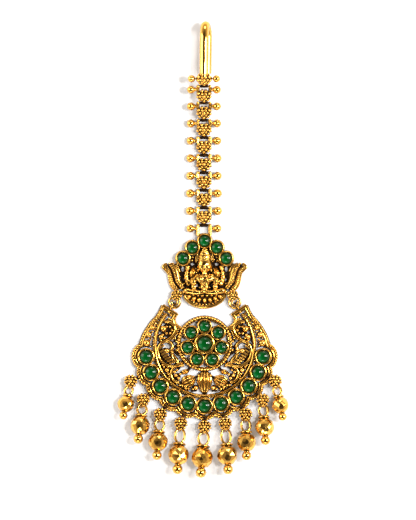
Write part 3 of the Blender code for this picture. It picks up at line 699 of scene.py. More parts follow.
def rim_turn(index):
    return RIM_STEP * (index - RIM_STONES // 2)


def rim_places():
    return [polar(CRESCENT, STONE_ARC, rim_turn(i)) for i in range(RIM_STONES)]


def petal_places():
    return [polar(MEDALLION, PETAL_RING, 180.0 + PETAL_STEP * i) for i in range(PETALS)]


def scallop_span(radius):
    """How far a scallop of this radius turns from its middle before it meets the next one."""
    half = math.radians(RIM_STEP / 2)
    across = STONE_ARC * math.sin(half)
    return 180.0 - math.degrees(math.atan2(across, -math.sqrt(radius**2 - across**2))) + RIM_STEP / 2


def scallops(piece):
    """The lobes outside the rim stones: rope, wire and dark base, tied to each cup by three posts."""
    for index, place in enumerate(rim_places()):
        middle = rim_turn(index)
        before = 0.0 if index else RIM_END_TURN
        after = 0.0 if index < RIM_STONES - 1 else RIM_END_TURN
        lobes = []
        for radius in (SCALLOP_ROPE, SCALLOP_WIRE, SCALLOP):
            away = scallop_span(radius)
            lobes.append(arc(place, radius, middle - (away + before), middle + (away + after), 16))
        piece.rope(lifted(lobes[0], 0.95 * MM), 0.46 * MM)
        piece.wire(lifted(lobes[1], 1.1 * MM), 0.32 * MM)
        piece.base(lobes[2], 0.65 * MM)
        for step in (-38.0, 0.0, 38.0):
            reaches = (RIM_STONE.cup - 0.1 * MM, SCALLOP_WIRE)
            piece.base([polar(place, reach, middle + step) for reach in reaches], 0.24 * MM, 0.8 * MM)


COLLAR_OUT = Vector((12.55 * MM, 11.4 * MM))
COLLAR_IN = Vector((8.3 * MM, 8.65 * MM))
# Degrees above level, and shares of the arc's radius
HORN_WIRE = ((0.5, 1.3), (8.5, 1.26), (16.0, 1.215), (24.5, 1.17), (34.0, 1.13))
RUNGS = 6
RUNG_FIRST = 111.0
RUNG_STEP = 3.6


def rosette(piece, spot, radius):
    """A ball with four small grains about it, on crossed wires."""
    piece.grain(spot.x, spot.y, 1.15 * MM, radius)
    for angle in (45.0, 135.0, 225.0, 315.0):
        near = polar(spot, radius * 1.25, angle)
        piece.grain(near.x, near.y, 0.8 * MM, radius * 0.36)
        piece.wire(lifted([spot, polar(spot, radius * 1.7, angle)], 0.75 * MM), 0.2 * MM)


HORN_LIP = ((8.5, 9.0), (9.35, 7.6), (9.25, 6.2), (8.5, 5.2), (7.2, 4.3))
HORN_GRAINS = ((15.7, 4.75, 0.8), (16.65, 2.65, 0.9), (17.3, 0.1, 1.1))
HORN_FILL = (
    (10.7, 9.4, 0.42), (10.1, 8.4, 0.42), (9.9, 9.6, 0.36), (10.7, 7.4, 0.36), (9.95, 7.3, 0.3),
    (11.4, 8.3, 0.34), (14.6, 5.9, 0.34), (15.1, 6.6, 0.32), (16.5, 4.1, 0.3), (15.6, 3.5, 0.34),
    (16.2, 1.2, 0.34), (17.3, 1.6, 0.3), (16.4, -0.9, 0.34),
)
PAISLEY = ((11.9, 6.5), (10.4, 6.35), (9.2, 5.4), (8.75, 4.1), (9.3, 2.8), (10.5, 1.5), (11.6, 0.75))
VOLUTE = (
    (10.6, -2.25), (9.9, -1.9), (9.6, -1.0), (10.1, 0.1), (11.3, 0.7), (12.8, 0.2), (13.75, -1.1),
    (14.0, -2.6), (13.6, -4.2), (12.7, -5.5), (11.3, -6.5), (9.6, -6.85), (7.9, -6.5), (6.9, -5.6),
)
LOWER_LOOP = (
    (6.2, -6.5), (7.4, -6.5), (8.7, -6.9), (9.8, -8.0), (10.1, -9.3), (9.7, -10.5), (8.8, -11.4),
    (7.6, -11.6),
)


def collar_ends(side):
    """The inner and the outer end of the bar that closes a horn."""
    return [Vector((side * end.x, end.y)) for end in (COLLAR_IN, COLLAR_OUT)]


def horn(piece, side):
    """An end of the crescent: its edge, the lip inside it, the closing bar, rungs and grains."""
    inner, outer = collar_ends(side)
    along = (outer - inner).normalized()
    knots = [polar(CRESCENT, ARC_RADIUS * reach, side * (90.0 + angle)) for angle, reach in HORN_WIRE]
    edge = smooth([*knots, outer], 6)
    piece.rope(lifted(edge, 0.95 * MM), 0.33 * MM)
    piece.wire(lifted(offset_path(edge, side * 0.62 * MM), 1.1 * MM), 0.25 * MM)
    piece.base(edge, 0.5 * MM)
    lip = smooth(mirrored(HORN_LIP, side), 6)
    piece.wire(lifted(lip, 1.05 * MM), 0.36 * MM)
    piece.beads(lifted(offset_path(lip, -side * 0.55 * MM), 1.0 * MM), 0.26 * MM)
    piece.base(lip, 0.55 * MM)
    bar = [inner, outer]
    piece.wire(lifted(bar, 1.0 * MM), 0.5 * MM, sides=14)
    below = Vector((along.y, -along.x)) * side
    piece.wire(lifted([spot + below * 0.75 * MM for spot in bar], 0.8 * MM), 0.28 * MM)
    for i in range(RUNGS):
        angle = side * (RUNG_FIRST + RUNG_STEP * i)
        rung = [polar(CRESCENT, ARC_RADIUS * share, angle) for share in (1.02, 1.16)]
        piece.wire(lifted(rung, 0.95 * MM), 0.28 * MM)
    for x, y, radius in HORN_GRAINS:
        rosette(piece, Vector((side * x * MM, y * MM)), radius * MM)
    for x, y, radius in HORN_FILL:
        piece.grain(side * x * MM, y * MM, 0.95 * MM, radius * MM)


FIELD_GRAINS = (
    (13.1, 1.95, 0.72), (11.3, -2.2, 0.8), (13.15, 0.95, 0.35), (12.5, 2.6, 0.4), (12.1, 1.6, 0.35),
    (11.3, -8.0, 0.7), (12.2, -7.0, 0.38), (10.8, -9.1, 0.36), (11.0, -7.1, 0.34), (10.75, -10.6, 0.4),
    (9.0, -8.6, 0.46), (8.6, -9.6, 0.5), (7.8, -10.4, 0.46), (8.2, -8.0, 0.36), (7.3, -9.2, 0.36),
    (2.6, -13.35, 0.62), (3.5, -13.7, 0.34), (1.75, -9.6, 0.4), (5.8, -12.9, 0.5), (6.7, -12.5, 0.36),
    (4.9, -13.5, 0.34), (8.3, -2.0, 0.4), (8.4, 0.6, 0.36), (8.8, 1.5, 0.3),
)
COMB_RIBS = 7
STEM = ((12.4, -1.4), (12.1, -3.0), (11.2, -4.6), (9.8, -5.8))
LEAF = ((9.9, -3.0), (9.4, -4.6), (7.9, -5.9), (8.6, -4.4), (9.9, -3.0))
SPRIGS = (
    ((9.6, -1.0), (7.6, -0.9)), ((7.9, -6.5), (6.2, -5.2)), ((5.6, -9.2), (4.4, -7.2)),
    ((8.9, 4.4), (7.6, 2.2)), ((9.0, -2.4), (7.3, -3.6)), ((8.7, 1.4), (7.8, 0.2)),
    ((7.9, -7.6), (6.9, -6.3)),
)
LOW_SPRIGS = (((6.6, -12.3), (7.6, -13.1)), ((2.5, -10.2), (1.5, -9.4)), ((3.2, -12.4), (2.6, -14.4)))


def scrolls(piece, side):
    """Half of the filigree between the arc and the medallion."""
    for shares, height in ((PAISLEY, 1.1), (VOLUTE, 1.2), (LOWER_LOOP, 1.1)):
        path = smooth(mirrored(shares, side), 6)
        piece.wire(lifted(path, height * MM), 0.42 * MM)
        piece.base(path, 0.6 * MM)
    inside = smooth(mirrored(PAISLEY, side), 6)[4:30]
    piece.beads(lifted(offset_path(inside, side * -0.75 * MM), 0.95 * MM), 0.26 * MM)
    for x, y, radius in FIELD_GRAINS:
        spot = Vector((side * x * MM, y * MM))
        piece.grain(spot.x, spot.y, 1.05 * MM, radius * 1.08 * MM)
        towards = (spot - CRESCENT).normalized()
        piece.base([spot - towards * 0.9 * MM, spot + towards * 0.9 * MM], 0.3 * MM, 0.55 * MM)
    cluster = Vector((side * 12.3 * MM, 4.4 * MM))
    piece.grain(cluster.x, cluster.y, 1.4 * MM, 0.95 * MM)
    for step in range(6):
        near = polar(Vector((side * 10.9 * MM, 4.0 * MM)), 1.1 * MM, side * (-150.0 + 60.0 * step))
        piece.grain(near.x, near.y, 1.0 * MM, 0.44 * MM)
    pocket = round_path((side * 10.9 * MM, 3.95 * MM), 2.0 * MM, 28)
    piece.solid(plate(pocket, [], 0.3 * MM, 0.45 * MM), OXIDE)
    piece.base([cluster, Vector((side * 14.2 * MM, 4.6 * MM))], 0.6 * MM, 0.5 * MM)
    for i in range(COMB_RIBS):
        share = i / (COMB_RIBS - 1)
        foot = Vector((side * (13.55 - 2.9 * share**1.4) * MM, (-1.6 - 4.3 * share**0.8) * MM))
        rib = [foot, polar(foot, 1.5 * MM, side * (-128.0 + 26.0 * share))]
        piece.wire(lifted(rib, 1.4 * MM), 0.3 * MM)
        piece.grain(rib[1].x, rib[1].y, 1.1 * MM, 0.36 * MM)
    piece.base(smooth(mirrored(STEM, side), 5), 0.8 * MM, 0.4 * MM)
    leaf_path = smooth(mirrored(LEAF, side), 5)
    piece.wire(lifted(leaf_path, 1.1 * MM), 0.3 * MM, True)
    piece.base(leaf_path, 0.45 * MM, closed=True)
    top = mirrored(((9.7, -2.6),), side)[0]
    piece.grain(top.x, top.y, 1.2 * MM, 0.5 * MM)
    bud = mirrored(((5.9, -8.5),), side)[0]
    piece.solid(leaf(bud, 3.1 * MM, 1.5 * MM, 1.3 * MM, side * -112.0, 2, base=0.4 * MM))
    for sprig in SPRIGS:
        piece.base(mirrored(sprig, side), 0.4 * MM, 0.6 * MM)


def lattice(piece):
    """The dark web under the scrolls, along the inner side of the arc, with larger and smaller grains."""
    for side in (-1, 1):
        piece.base(arc(CRESCENT, 0.87 * ARC_RADIUS, side * 18.0, side * 84.0, 40), 0.26 * MM, 0.55 * MM)
        for i in range(16):
            angle = side * (19.0 + 4.2 * i)
            near = polar(CRESCENT, 0.86 * ARC_RADIUS, angle)
            far = polar(CRESCENT, 0.99 * ARC_RADIUS, angle + side * 2.1)
            piece.base([near, far], 0.26 * MM, 0.6 * MM)
            spot = near.lerp(far, 0.5)
            piece.grain(spot.x, spot.y, 0.95 * MM, (0.4 if i % 2 else 0.28) * MM)


def medallion(piece):
    """The rings, cups and grains of the medallion, and the three buds under it."""
    piece.beads(lifted(round_path(MEDALLION, MILGRAIN), 1.15 * MM), 0.52 * MM, True, 1.75)
    piece.wire(lifted(round_path(MEDALLION, MILGRAIN), 1.0 * MM), 0.38 * MM, True)
    piece.wire(lifted(round_path(MEDALLION, MILGRAIN - 0.55 * MM), 1.05 * MM), 0.2 * MM, True)
    piece.base(round_path(MEDALLION, MILGRAIN - 0.05 * MM), 0.62 * MM, 0.6 * MM, True)
    bezel(piece, MEDALLION, HEART_STONE)
    for index, place in enumerate(petal_places()):
        bezel(piece, place, PETAL_STONE)
        angle = 180.0 + PETAL_STEP * (index + 0.5)
        near = polar(MEDALLION, 3.75 * MM, angle)
        piece.grain(near.x, near.y, 1.2 * MM, 0.42 * MM)
        between = [polar(MEDALLION, reach, angle) for reach in (3.6 * MM, 5.1 * MM)]
        piece.base(between, 0.4 * MM, 0.9 * MM)
    top = MEDALLION.y - MILGRAIN - 0.1 * MM
    foot = CRESCENT.y - ARC_RADIUS + 0.3 * MM
    middle = (top + foot) / 2
    length = top - foot
    piece.solid(leaf((0.0, middle), length * 1.04, 4.6 * MM, 2.2 * MM, 0.0, 4, furrow=0.4, full=0.42))
    for side in (-1, 1):
        place = (side * 4.75 * MM, middle + 0.06 * length)
        turn = 180.0 + side * 62.0
        piece.solid(leaf(place, 5.1 * MM, 3.9 * MM, 2.1 * MM, turn, 4, furrow=0.42, full=0.45))
        for sprig in LOW_SPRIGS:
            piece.base(mirrored(sprig, side), 0.4 * MM, 0.6 * MM)


FLOWER_RADIUS = 2.05 * MM
FLOWER_CENTRE = CRESCENT + Vector((-0.5 * MM, 0.0))
FLOWER_ARC = 23.95 * MM
FLOWER_STEP = 16.1
EYE_OFFSET = 1.6 * MM
HOOP_HEIGHT = 1.0 * MM
HOOP_RADIUS = 0.78 * MM
Drop = namedtuple("Drop", "station lean bead reach")
DROPS = (
    Drop(station=-4.0, lean=-12.0, bead=2.55 * MM, reach=6.95 * MM),
    Drop(station=-3.0, lean=-7.0, bead=2.97 * MM, reach=7.65 * MM),
    Drop(station=-2.0, lean=-4.6, bead=2.97 * MM, reach=8.15 * MM),
    Drop(station=-1.0, lean=-4.1, bead=3.15 * MM, reach=9.25 * MM),
    Drop(station=0.07, lean=-4.5, bead=3.3 * MM, reach=9.15 * MM),
    Drop(station=1.0, lean=3.7, bead=3.09 * MM, reach=9.4 * MM),
    Drop(station=2.0, lean=1.2, bead=2.94 * MM, reach=8.25 * MM),
    Drop(station=3.0, lean=3.8, bead=2.91 * MM, reach=8.1 * MM),
    Drop(station=4.0, lean=11.8, bead=2.58 * MM, reach=7.3 * MM),
)


def flower_place(drop):
    return polar(FLOWER_CENTRE, FLOWER_ARC, drop.station * FLOWER_STEP)


def hoop(piece, centre, along):
    """A small ring on edge: behind a flower of the crescent, or where a jump ring passes."""
    along = Vector((along[0], along[1])).normalized()
    path = []
    for angle in ring_angles(20):
        reach = HOOP_RADIUS * math.cos(angle)
        height = HOOP_HEIGHT + HOOP_RADIUS * math.sin(angle)
        path.append(Vector((centre[0] + along.x * reach, centre[1] + along.y * reach, height)))
    piece.wire(path, 0.2 * MM, True, sides=8)


def crescent():
    """The crescent with everything soldered to it, and its stones."""
    piece = Piece("crescent_openwork")
    inner = arc(CRESCENT, ARC_RADIUS, -131.0, 131.0, 96)
    piece.wire(lifted(arc(CRESCENT, ARC_RADIUS - 0.12 * MM, -131.0, 131.0, 96), 1.3 * MM), 0.34 * MM)
    piece.rope(lifted(arc(CRESCENT, ARC_RADIUS + 0.36 * MM, -128.0, 128.0, 96), 1.05 * MM), 0.22 * MM)
    piece.base(inner, 0.6 * MM, 0.6 * MM)
    for place in rim_places():
        bezel(piece, place, RIM_STONE)
    scallops(piece)
    medallion(piece)
    lattice(piece)
    for side in (-1, 1):
        horn(piece, side)
        scrolls(piece, side)
        jump = Vector((side * JUMP_PLACE[0], JUMP_PLACE[1]))
        inner_end, outer_end = collar_ends(side)
        along = (outer_end - inner_end).normalized()
        away = Vector((-along.y, along.x))
        away = away if (jump - inner_end).dot(away) > 0 else -away
        hoop(piece, jump - away * JUMP_RADIUS, away)
        piece.wire(lifted(arc(jump, 0.85 * MM, -125.0, 125.0, 24), 0.75 * MM), 0.28 * MM)
        # Painted shade: a dark wire inside the jump ring stands in for the shadow there
        piece.base([jump, jump - away * 2.4 * MM], 0.3 * MM, 0.3 * MM)
    for drop in DROPS:
        place = flower_place(drop)
        away = polar((0, 0), 1.0, drop.lean)
        granule_flower(piece, place, FLOWER_RADIUS, 2.55 * MM)
        hoop(piece, place + away * EYE_OFFSET, away)
        inwards = (CRESCENT - place).normalized()
        piece.base([place, place + inwards * 2.7 * MM], 0.5 * MM, 1.15 * MM)
    piece.made(["crescent_pendant"], "antique_gold")
    for index, place in enumerate(rim_places()):
        cabochon(f"rim_stone_{index + 1:02d}", place, RIM_STONE)
    for index, place in enumerate(petal_places()):
        cabochon(f"medallion_stone_{index + 1}", place, PETAL_STONE)
    cabochon("medallion_heart_stone", MEDALLION, HEART_STONE)


# Jump rings


JUMP_PLACE = (9.0 * MM, 12.3 * MM)
JUMP_RADIUS = 1.62 * MM


def jump_rings():
    for side, word in ((-1, "left"), (1, "right")):
        piece = Piece(f"jump_ring_{word}_wire")
        path = round_path((side * JUMP_PLACE[0], JUMP_PLACE[1]), JUMP_RADIUS, 40)
        piece.wire(lifted(path, 1.0 * MM), 0.38 * MM, True, sides=14)
        piece.made([f"jump_ring_{word}"], "bright_gold")


# Drops


BEAD_COLLAR = (
    (0.0, 0.35), (0.52, 0.32), (0.64, 0.05), (0.6, -0.22), (0.38, -0.38), (0.3, -0.55), (0.0, -0.6),
)
BEAD_WASHER = ((0.0, -0.12), (0.3, -0.1), (0.33, 0.02), (0.25, 0.14), (0.0, 0.15))
BALL_SHARE = 0.49
LOOP_HALF_WIDTH = 1.5 * MM
FACETS_AROUND = 15
FACET_ROWS = 11


def drop_bead(index, drop):
    """A hammered bead under a collar, with its end ball and wire loop."""
    flat = polar((0, 0), 1.0, drop.lean)
    start = flower_place(drop) + flat * EYE_OFFSET
    origin = Vector((start.x, start.y, HOOP_HEIGHT))
    seat = flower_place(drop) + flat * drop.reach
    axis = Vector((seat.x, seat.y, drop.bead)) - origin
    length = axis.length
    axis.normalize()
    across = Vector((flat.y, -flat.x, 0.0))
    place = Matrix.Translation(origin) @ Matrix((across, across.cross(axis), axis)).transposed().to_4x4()
    bead = drop.bead
    piece = Piece(f"drop_bead_{index}_hammered", BRIGHT)
    piece.solid(hammered(bead, place @ Matrix.Translation((0.0, 0.0, length)), index))
    tip = BALL_SHARE * bead
    ball = place @ Vector((0.0, 0.0, length + bead + 0.8 * tip))
    piece.grain(*ball, tip)
    neck = place @ Matrix.Translation((0.0, 0.0, length - bead))
    piece.solid(turned(profile_of(BEAD_COLLAR, bead), 28, neck))
    lower = place @ Matrix.Translation((0.0, 0.0, length + bead))
    piece.solid(turned(profile_of(BEAD_WASHER, bead), 20, lower))
    foot = length - bead - 0.35 * MM
    wide = LOOP_HALF_WIDTH * bead / DROPS[4].bead
    oval = []
    for angle in ring_angles(36):
        oval.append(place @ Vector((wide * math.sin(angle), 0.0, foot / 2 * (1 - math.cos(angle)))))
    piece.wire(oval, 0.4 * MM, True, sides=12)
    piece.made([f"drop_bead_{index}"], "bright_gold")


def hammered(radius, place, seed):
    """A ball cut with uneven flat facets, staggered from row to row."""
    uneven = random.Random(seed)
    shell = bmesh.new()
    rings = []
    for row in range(1, FACET_ROWS):
        ring = []
        for i in range(FACETS_AROUND):
            lean = math.pi * (row + uneven.uniform(-0.16, 0.16)) / FACET_ROWS
            angle = 2 * math.pi * (i + 0.5 * (row % 2) + uneven.uniform(-0.18, 0.18)) / FACETS_AROUND
            out = math.sin(lean)
            spot = Vector((out * math.cos(angle), out * math.sin(angle), math.cos(lean)))
            ring.append(shell.verts.new(place @ (spot * radius * uneven.uniform(0.955, 1.015))))
        rings.append(ring)
    top = shell.verts.new(place @ Vector((0.0, 0.0, radius)))
    low = shell.verts.new(place @ Vector((0.0, 0.0, -radius)))
    for row, (upper, lower) in enumerate(zip(rings, rings[1:]), 1):
        for i in range(FACETS_AROUND):
            j = (i + 1) % FACETS_AROUND
            if row % 2:
                shell.faces.new((upper[i], lower[j], upper[j]))
                shell.faces.new((upper[i], lower[i], lower[j]))
            else:
                shell.faces.new((upper[i], lower[i], upper[j]))
                shell.faces.new((upper[j], lower[i], lower[j]))
    for i in range(FACETS_AROUND):
        j = (i + 1) % FACETS_AROUND
        shell.faces.new((top, rings[0][i], rings[0][j]))
        shell.faces.new((low, rings[-1][j], rings[-1][i]))
    bmesh.ops.recalc_face_normals(shell, faces=shell.faces)
    mesh = bpy.data.meshes.new("hammered")
    shell.to_mesh(mesh)
    shell.free()
    mesh.shade_flat()
    return mesh


# Chain and hook


CHAIN_X = -0.2 * MM
CHAIN_FOOT = 35.4 * MM
LINK_PITCH = 5.25 * MM
LINK_COUNT = 8
LINK_SLOPES = (8.0, 15.0, 22.0)
HOOK_SLOPE = 25.0
LINK_HEIGHT = 0.8 * MM
FLOWER_ALONG = 2.42 * MM
RAIL_X = 1.75 * MM
BARREL = ((0.28, 1.2), (0.44, 1.2), (0.46, 0.0), (0.44, -1.2), (0.28, -1.2))
BALL_CUFF = ((0.0, -0.2), (0.6, -0.18), (0.7, 0.0), (0.6, 0.18), (0.0, 0.2))


def link_flower(piece, frame):
    """A flower with the barrel at its foot that turns on the hinge bar below it; the barrel's black is
    painted shade for the shadow at the flower's foot.
    """
    granule_flower(piece, (0.0, FLOWER_ALONG), 2.35 * MM, 0.8 * MM, 0.84, frame)
    # Painted shade: the barrel takes the black oxide paint for the shadow at the flower's foot
    piece.solid(turned(profile_of(BARREL), 20, frame @ QUARTER_TURN), OXIDE)
    stem = [frame @ Vector((0.0, y, 0.0)) for y in (0.45 * MM, 1.6 * MM)]
    piece.wire(stem, 0.42 * MM)


def side_ball(piece, frame, side, row, reach, radius):
    piece.grain(*(frame @ Vector((side * reach, row, radius - LINK_HEIGHT))), radius)
    arm = [frame @ Vector((side * x, row, 0.15 * MM)) for x in (RAIL_X, reach)]
    piece.wire(arm, 0.45 * MM)
    cuff = frame @ Matrix.Translation((side * (reach - radius * 0.95), row, 0.25 * MM))
    piece.solid(turned(profile_of(BALL_CUFF), 14, cuff @ QUARTER_TURN))


def hinge(piece, frame, bar, reach, radius, foot):
    """The open frame over a flower: two rails, each with a bright line, a crossbar and two balls."""
    for x in (-RAIL_X, RAIL_X):
        rail = [frame @ Vector((x, y, 0.05 * MM)) for y in (foot, bar + 0.2 * MM)]
        piece.wire(rail, 0.46 * MM)
        line = [frame @ Vector((x * 1.16, y, 0.3 * MM)) for y in (foot + 0.3 * MM, bar - 0.1 * MM)]
        piece.wire(line, 0.3 * MM)
        piece.grain(*(frame @ Vector((x, bar, 0.2 * MM))), 0.5 * MM)
    corners = [(-RAIL_X, bar), (RAIL_X, bar)]
    piece.wire([frame @ Vector((x, y, 0.0)) for x, y in corners], 0.24 * MM)
    for side in (-1, 1):
        side_ball(piece, frame, side, bar - 0.95 * MM, reach, radius)


def chain():
    """The links from the crest up; gives the place of the last hinge."""
    foot, height = CHAIN_FOOT, LINK_HEIGHT
    slopes = [0.0] * (LINK_COUNT - len(LINK_SLOPES)) + list(LINK_SLOPES)
    for index, slope in enumerate(slopes):
        share = index / LINK_COUNT
        reach = (4.15 - 0.35 * share) * MM
        radius = (1.32 - 0.1 * share) * MM
        frame = joint_turn(foot, height, slope)
        piece = Piece(f"chain_link_{index + 1}_granulated")
        link_flower(piece, frame)
        hinge(piece, frame, LINK_PITCH, reach, radius, FLOWER_ALONG + 0.9 * MM)
        piece.made([f"chain_link_{index + 1}"], "antique_gold")
        foot += LINK_PITCH * math.cos(math.radians(slope))
        height += LINK_PITCH * math.sin(math.radians(slope))
    return foot, height


HOOK_KNOTS = (
    (0.0, 79.6, 6.1), (0.0, 83.0, 6.3), (0.02, 88.0, 6.35), (0.1, 92.0, 6.25), (0.3, 94.35, 5.25),
    (0.6, 94.95, 3.8), (0.85, 94.3, 2.35), (1.05, 92.0, 1.42), (1.0, 88.0, 1.36), (0.9, 80.8, 1.36),
)


def hair_hook(foot, height):
    frame = joint_turn(foot, height, HOOK_SLOPE)
    piece = Piece("hair_hook_polished", BRIGHT)
    link_flower(piece, frame)
    for side in (-1, 1):
        arm = [frame @ Vector((x, FLOWER_ALONG, 0.0)) for x in (0.0, side * 3.7 * MM)]
        piece.wire(arm, 0.28 * MM)
        piece.grain(*(frame @ Vector((side * 3.7 * MM, FLOWER_ALONG, 0.2 * MM))), 1.12 * MM)
    path = smooth([(CHAIN_X + x * MM, y * MM, z * MM) for x, y, z in HOOK_KNOTS], 8)
    piece.wire(path, 1.33 * MM, sides=28)
    piece.made(["hair_hook"], "bright_gold")


# Crest panel


CREST_TOP = 30.7 * MM
CREST_STEPS = ((0.0, 0.0), (3.63, -2.0), (6.45, -5.2))
Station = namedtuple("Station", "outer inner")
WING_BLADE = (
    Station((11.3, 24.0), (10.9, 23.3)), Station((12.1, 23.55), (10.75, 23.05)),
    Station((12.5, 22.8), (10.55, 22.8)), Station((11.75, 21.95), (10.3, 22.45)),
    Station((11.05, 21.1), (9.85, 21.5)), Station((10.85, 20.1), (9.6, 20.5)),
    Station((10.65, 18.9), (9.2, 19.3)), Station((10.25, 17.5), (8.8, 18.1)),
    Station((9.6, 16.4), (8.0, 17.1)), Station((8.6, 15.7), (7.3, 16.3)),
)
WING_BAND = (
    Station((10.95, 23.9), (9.6, 24.1)), Station((10.5, 22.95), (9.0, 23.5)),
    Station((10.0, 22.1), (8.2, 22.4)), Station((9.5, 21.0), (7.75, 21.0)),
    Station((9.15, 19.7), (7.5, 19.4)), Station((8.75, 18.4), (7.1, 18.3)),
    Station((8.0, 17.4), (6.6, 17.4)), Station((7.2, 16.5), (6.1, 16.6)),
)
BACK_OUTLINE = (
    (0.0, 30.4), (3.6, 28.5), (6.4, 25.4), (9.2, 23.6), (8.3, 20.0), (7.2, 16.9), (6.2, 15.0),
    (0.0, 13.5),
)
BACK_HOLES = (
    (6.55, 22.3, 0.42, 0.75), (3.6, 23.75, 0.55, 0.4), (6.3, 19.2, 0.3, 0.5), (2.25, 17.4, 0.4, 0.5),
)


def plate(outline, holes, thickness, height):
    """A flat sheet with oval holes through it."""
    data = bpy.data.curves.new("plate", "CURVE")
    data.dimensions = "2D"
    data.fill_mode = "BOTH"
    data.extrude = thickness / 2
    rings = [outline]
    for x, y, a, b in holes:
        rings.append([(x + a * math.cos(turn), y + b * math.sin(turn)) for turn in ring_angles(16)])
    for ring in rings:
        spline = data.splines.new("POLY")
        spline.points.add(len(ring) - 1)
        spline.use_cyclic_u = True
        for point, (x, y) in zip(spline.points, ring):
            point.co = (x, y, 0.0, 1.0)
    mesh = taken(linked("plate", data))
    mesh.transform(Matrix.Translation((0.0, 0.0, height)))
    return mesh


def crest_places():
    places = []
    for across, down in CREST_STEPS:
        for side in (1,) if across == 0.0 else (-1, 1):
            places.append(Vector((side * across * MM, CREST_TOP + down * MM)))
    return places


def back_plate():
    half = [Vector((x * MM, y * MM)) for x, y in BACK_OUTLINE]
    outline = half + [Vector((-p.x, p.y)) for p in reversed(half[1:-1])]
    holes = [(side * x * MM, y * MM, a * MM, b * MM) for x, y, a, b in BACK_HOLES for side in (-1, 1)]
    return plate(outline, holes, 0.3 * MM, 0.35 * MM)


def band(stations, side, low, rise, flutes, depth):
    """A crowned strip between two edges, with flutes across it; gives its mesh and its two edges."""
    outer = smooth(mirrored([station.outer for station in stations], side), 7)
    inner = smooth(mirrored([station.inner for station in stations], side), 7)
    rows = []
    for i, (first, last) in enumerate(zip(outer, inner)):
        flute = 1 - depth * (0.5 - 0.5 * math.cos(2 * math.pi * flutes * i / (len(outer) - 1)))
        row = []
        for j in range(9):
            t = j / 8
            spot = first.lerp(last, t)
            row.append(Vector((spot.x, spot.y, low + rise * math.sin(math.pi * t) ** 0.7 * flute)))
        rows.append([*row, Vector((last.x, last.y, 0.1 * MM)), Vector((first.x, first.y, 0.1 * MM))])
    return skin(rows, caps=True), outer, inner


def wing(piece, side):
    """A curled side petal: a hatched blade that rolls over at its tip, and a beaded band inside it."""
    blade, outer, groove = band(WING_BLADE, side, 0.6 * MM, 0.85 * MM, 19.0, 0.55)
    piece.solid(blade)
    piece.rope(lifted(outer[14:], 0.75 * MM), 0.26 * MM)
    piece.wire(lifted(outer[:30], 1.05 * MM), 0.34 * MM)
    piece.base(groove, 0.32 * MM, 0.75 * MM)
    ridge, left, right = band(WING_BAND, side, 0.9 * MM, 0.85 * MM, 15.0, 0.12)
    piece.solid(ridge)
    piece.beads(lifted([a.lerp(b, 0.3) for a, b in zip(left, right)], 1.75 * MM), 0.3 * MM, pitch=2.4)
    piece.wire(lifted([a.lerp(b, 0.72) for a, b in zip(left, right)], 1.62 * MM), 0.36 * MM)
    piece.rope(lifted(right, 1.0 * MM), 0.22 * MM)


SEAT_Y = 15.5
SEAT_HALF = 6.5
SEAT_DEEP = 4.85
SEAT_PETALS = 7
SEAT_RIM = ((-6.3, 15.45), (-4.2, 15.75), (0.0, 15.6), (4.2, 15.75), (6.3, 15.45))
KNEE = ((6.0, 14.7), (4.4, 14.1), (3.0, 14.7), (1.8, 14.75), (0.6, 14.1))


def seat_path(shrink, first, last, count):
    """Points along the bowl's edge, from first to last degrees from straight down."""
    points = []
    for i in range(count + 1):
        angle = math.radians(first + (last - first) * i / count)
        x = SEAT_HALF * shrink * math.sin(angle)
        points.append(Vector((x * MM, (SEAT_Y - SEAT_DEEP * shrink * math.cos(angle)) * MM)))
    return points


def lotus_seat(piece):
    """A bowl of rounded petals between a smooth rim and the band that the figure sits on."""
    edge = seat_path(1.0, -84.0, 84.0, 44)
    piece.solid(plate(edge, [], 0.9 * MM, 0.75 * MM), OXIDE)
    piece.wire(lifted(seat_path(0.95, -78.0, 78.0, 40), 0.95 * MM), 0.5 * MM, sides=14)
    piece.rope(lifted(edge, 0.65 * MM), 0.26 * MM)
    for i in range(SEAT_PETALS):
        share = (i - 3) / 3
        x = share * (5.1 - 0.5 * abs(share))
        y = 12.95 + 1.15 * share**2
        petal = leaf((x * MM, y * MM), 2.1 * MM, 1.5 * MM, 1.3 * MM, share * 48.0, 1, 1.0 * MM, 0.5, 0.0)
        piece.solid(petal)
    for i in range(12):
        tip = seat_path(0.8, -60.0 + 120.0 * i / 11, 0.0, 1)[0]
        piece.grain(tip.x, tip.y, 1.3 * MM, 0.28 * MM)
    for i in range(6):
        share = (i - 2.5) / 2.5
        piece.grain(share * 3.4 * MM, (14.35 + 0.2 * share**2) * MM, 1.7 * MM, 0.4 * MM)
    rim = smooth([Vector((x * MM, y * MM)) for x, y in SEAT_RIM], 8)
    piece.beads(lifted(rim, 1.95 * MM), 0.42 * MM, pitch=2.3)
    for side in (-1, 1):
        piece.wire(lifted(smooth(mirrored(KNEE, side), 6), 1.5 * MM), 0.24 * MM)


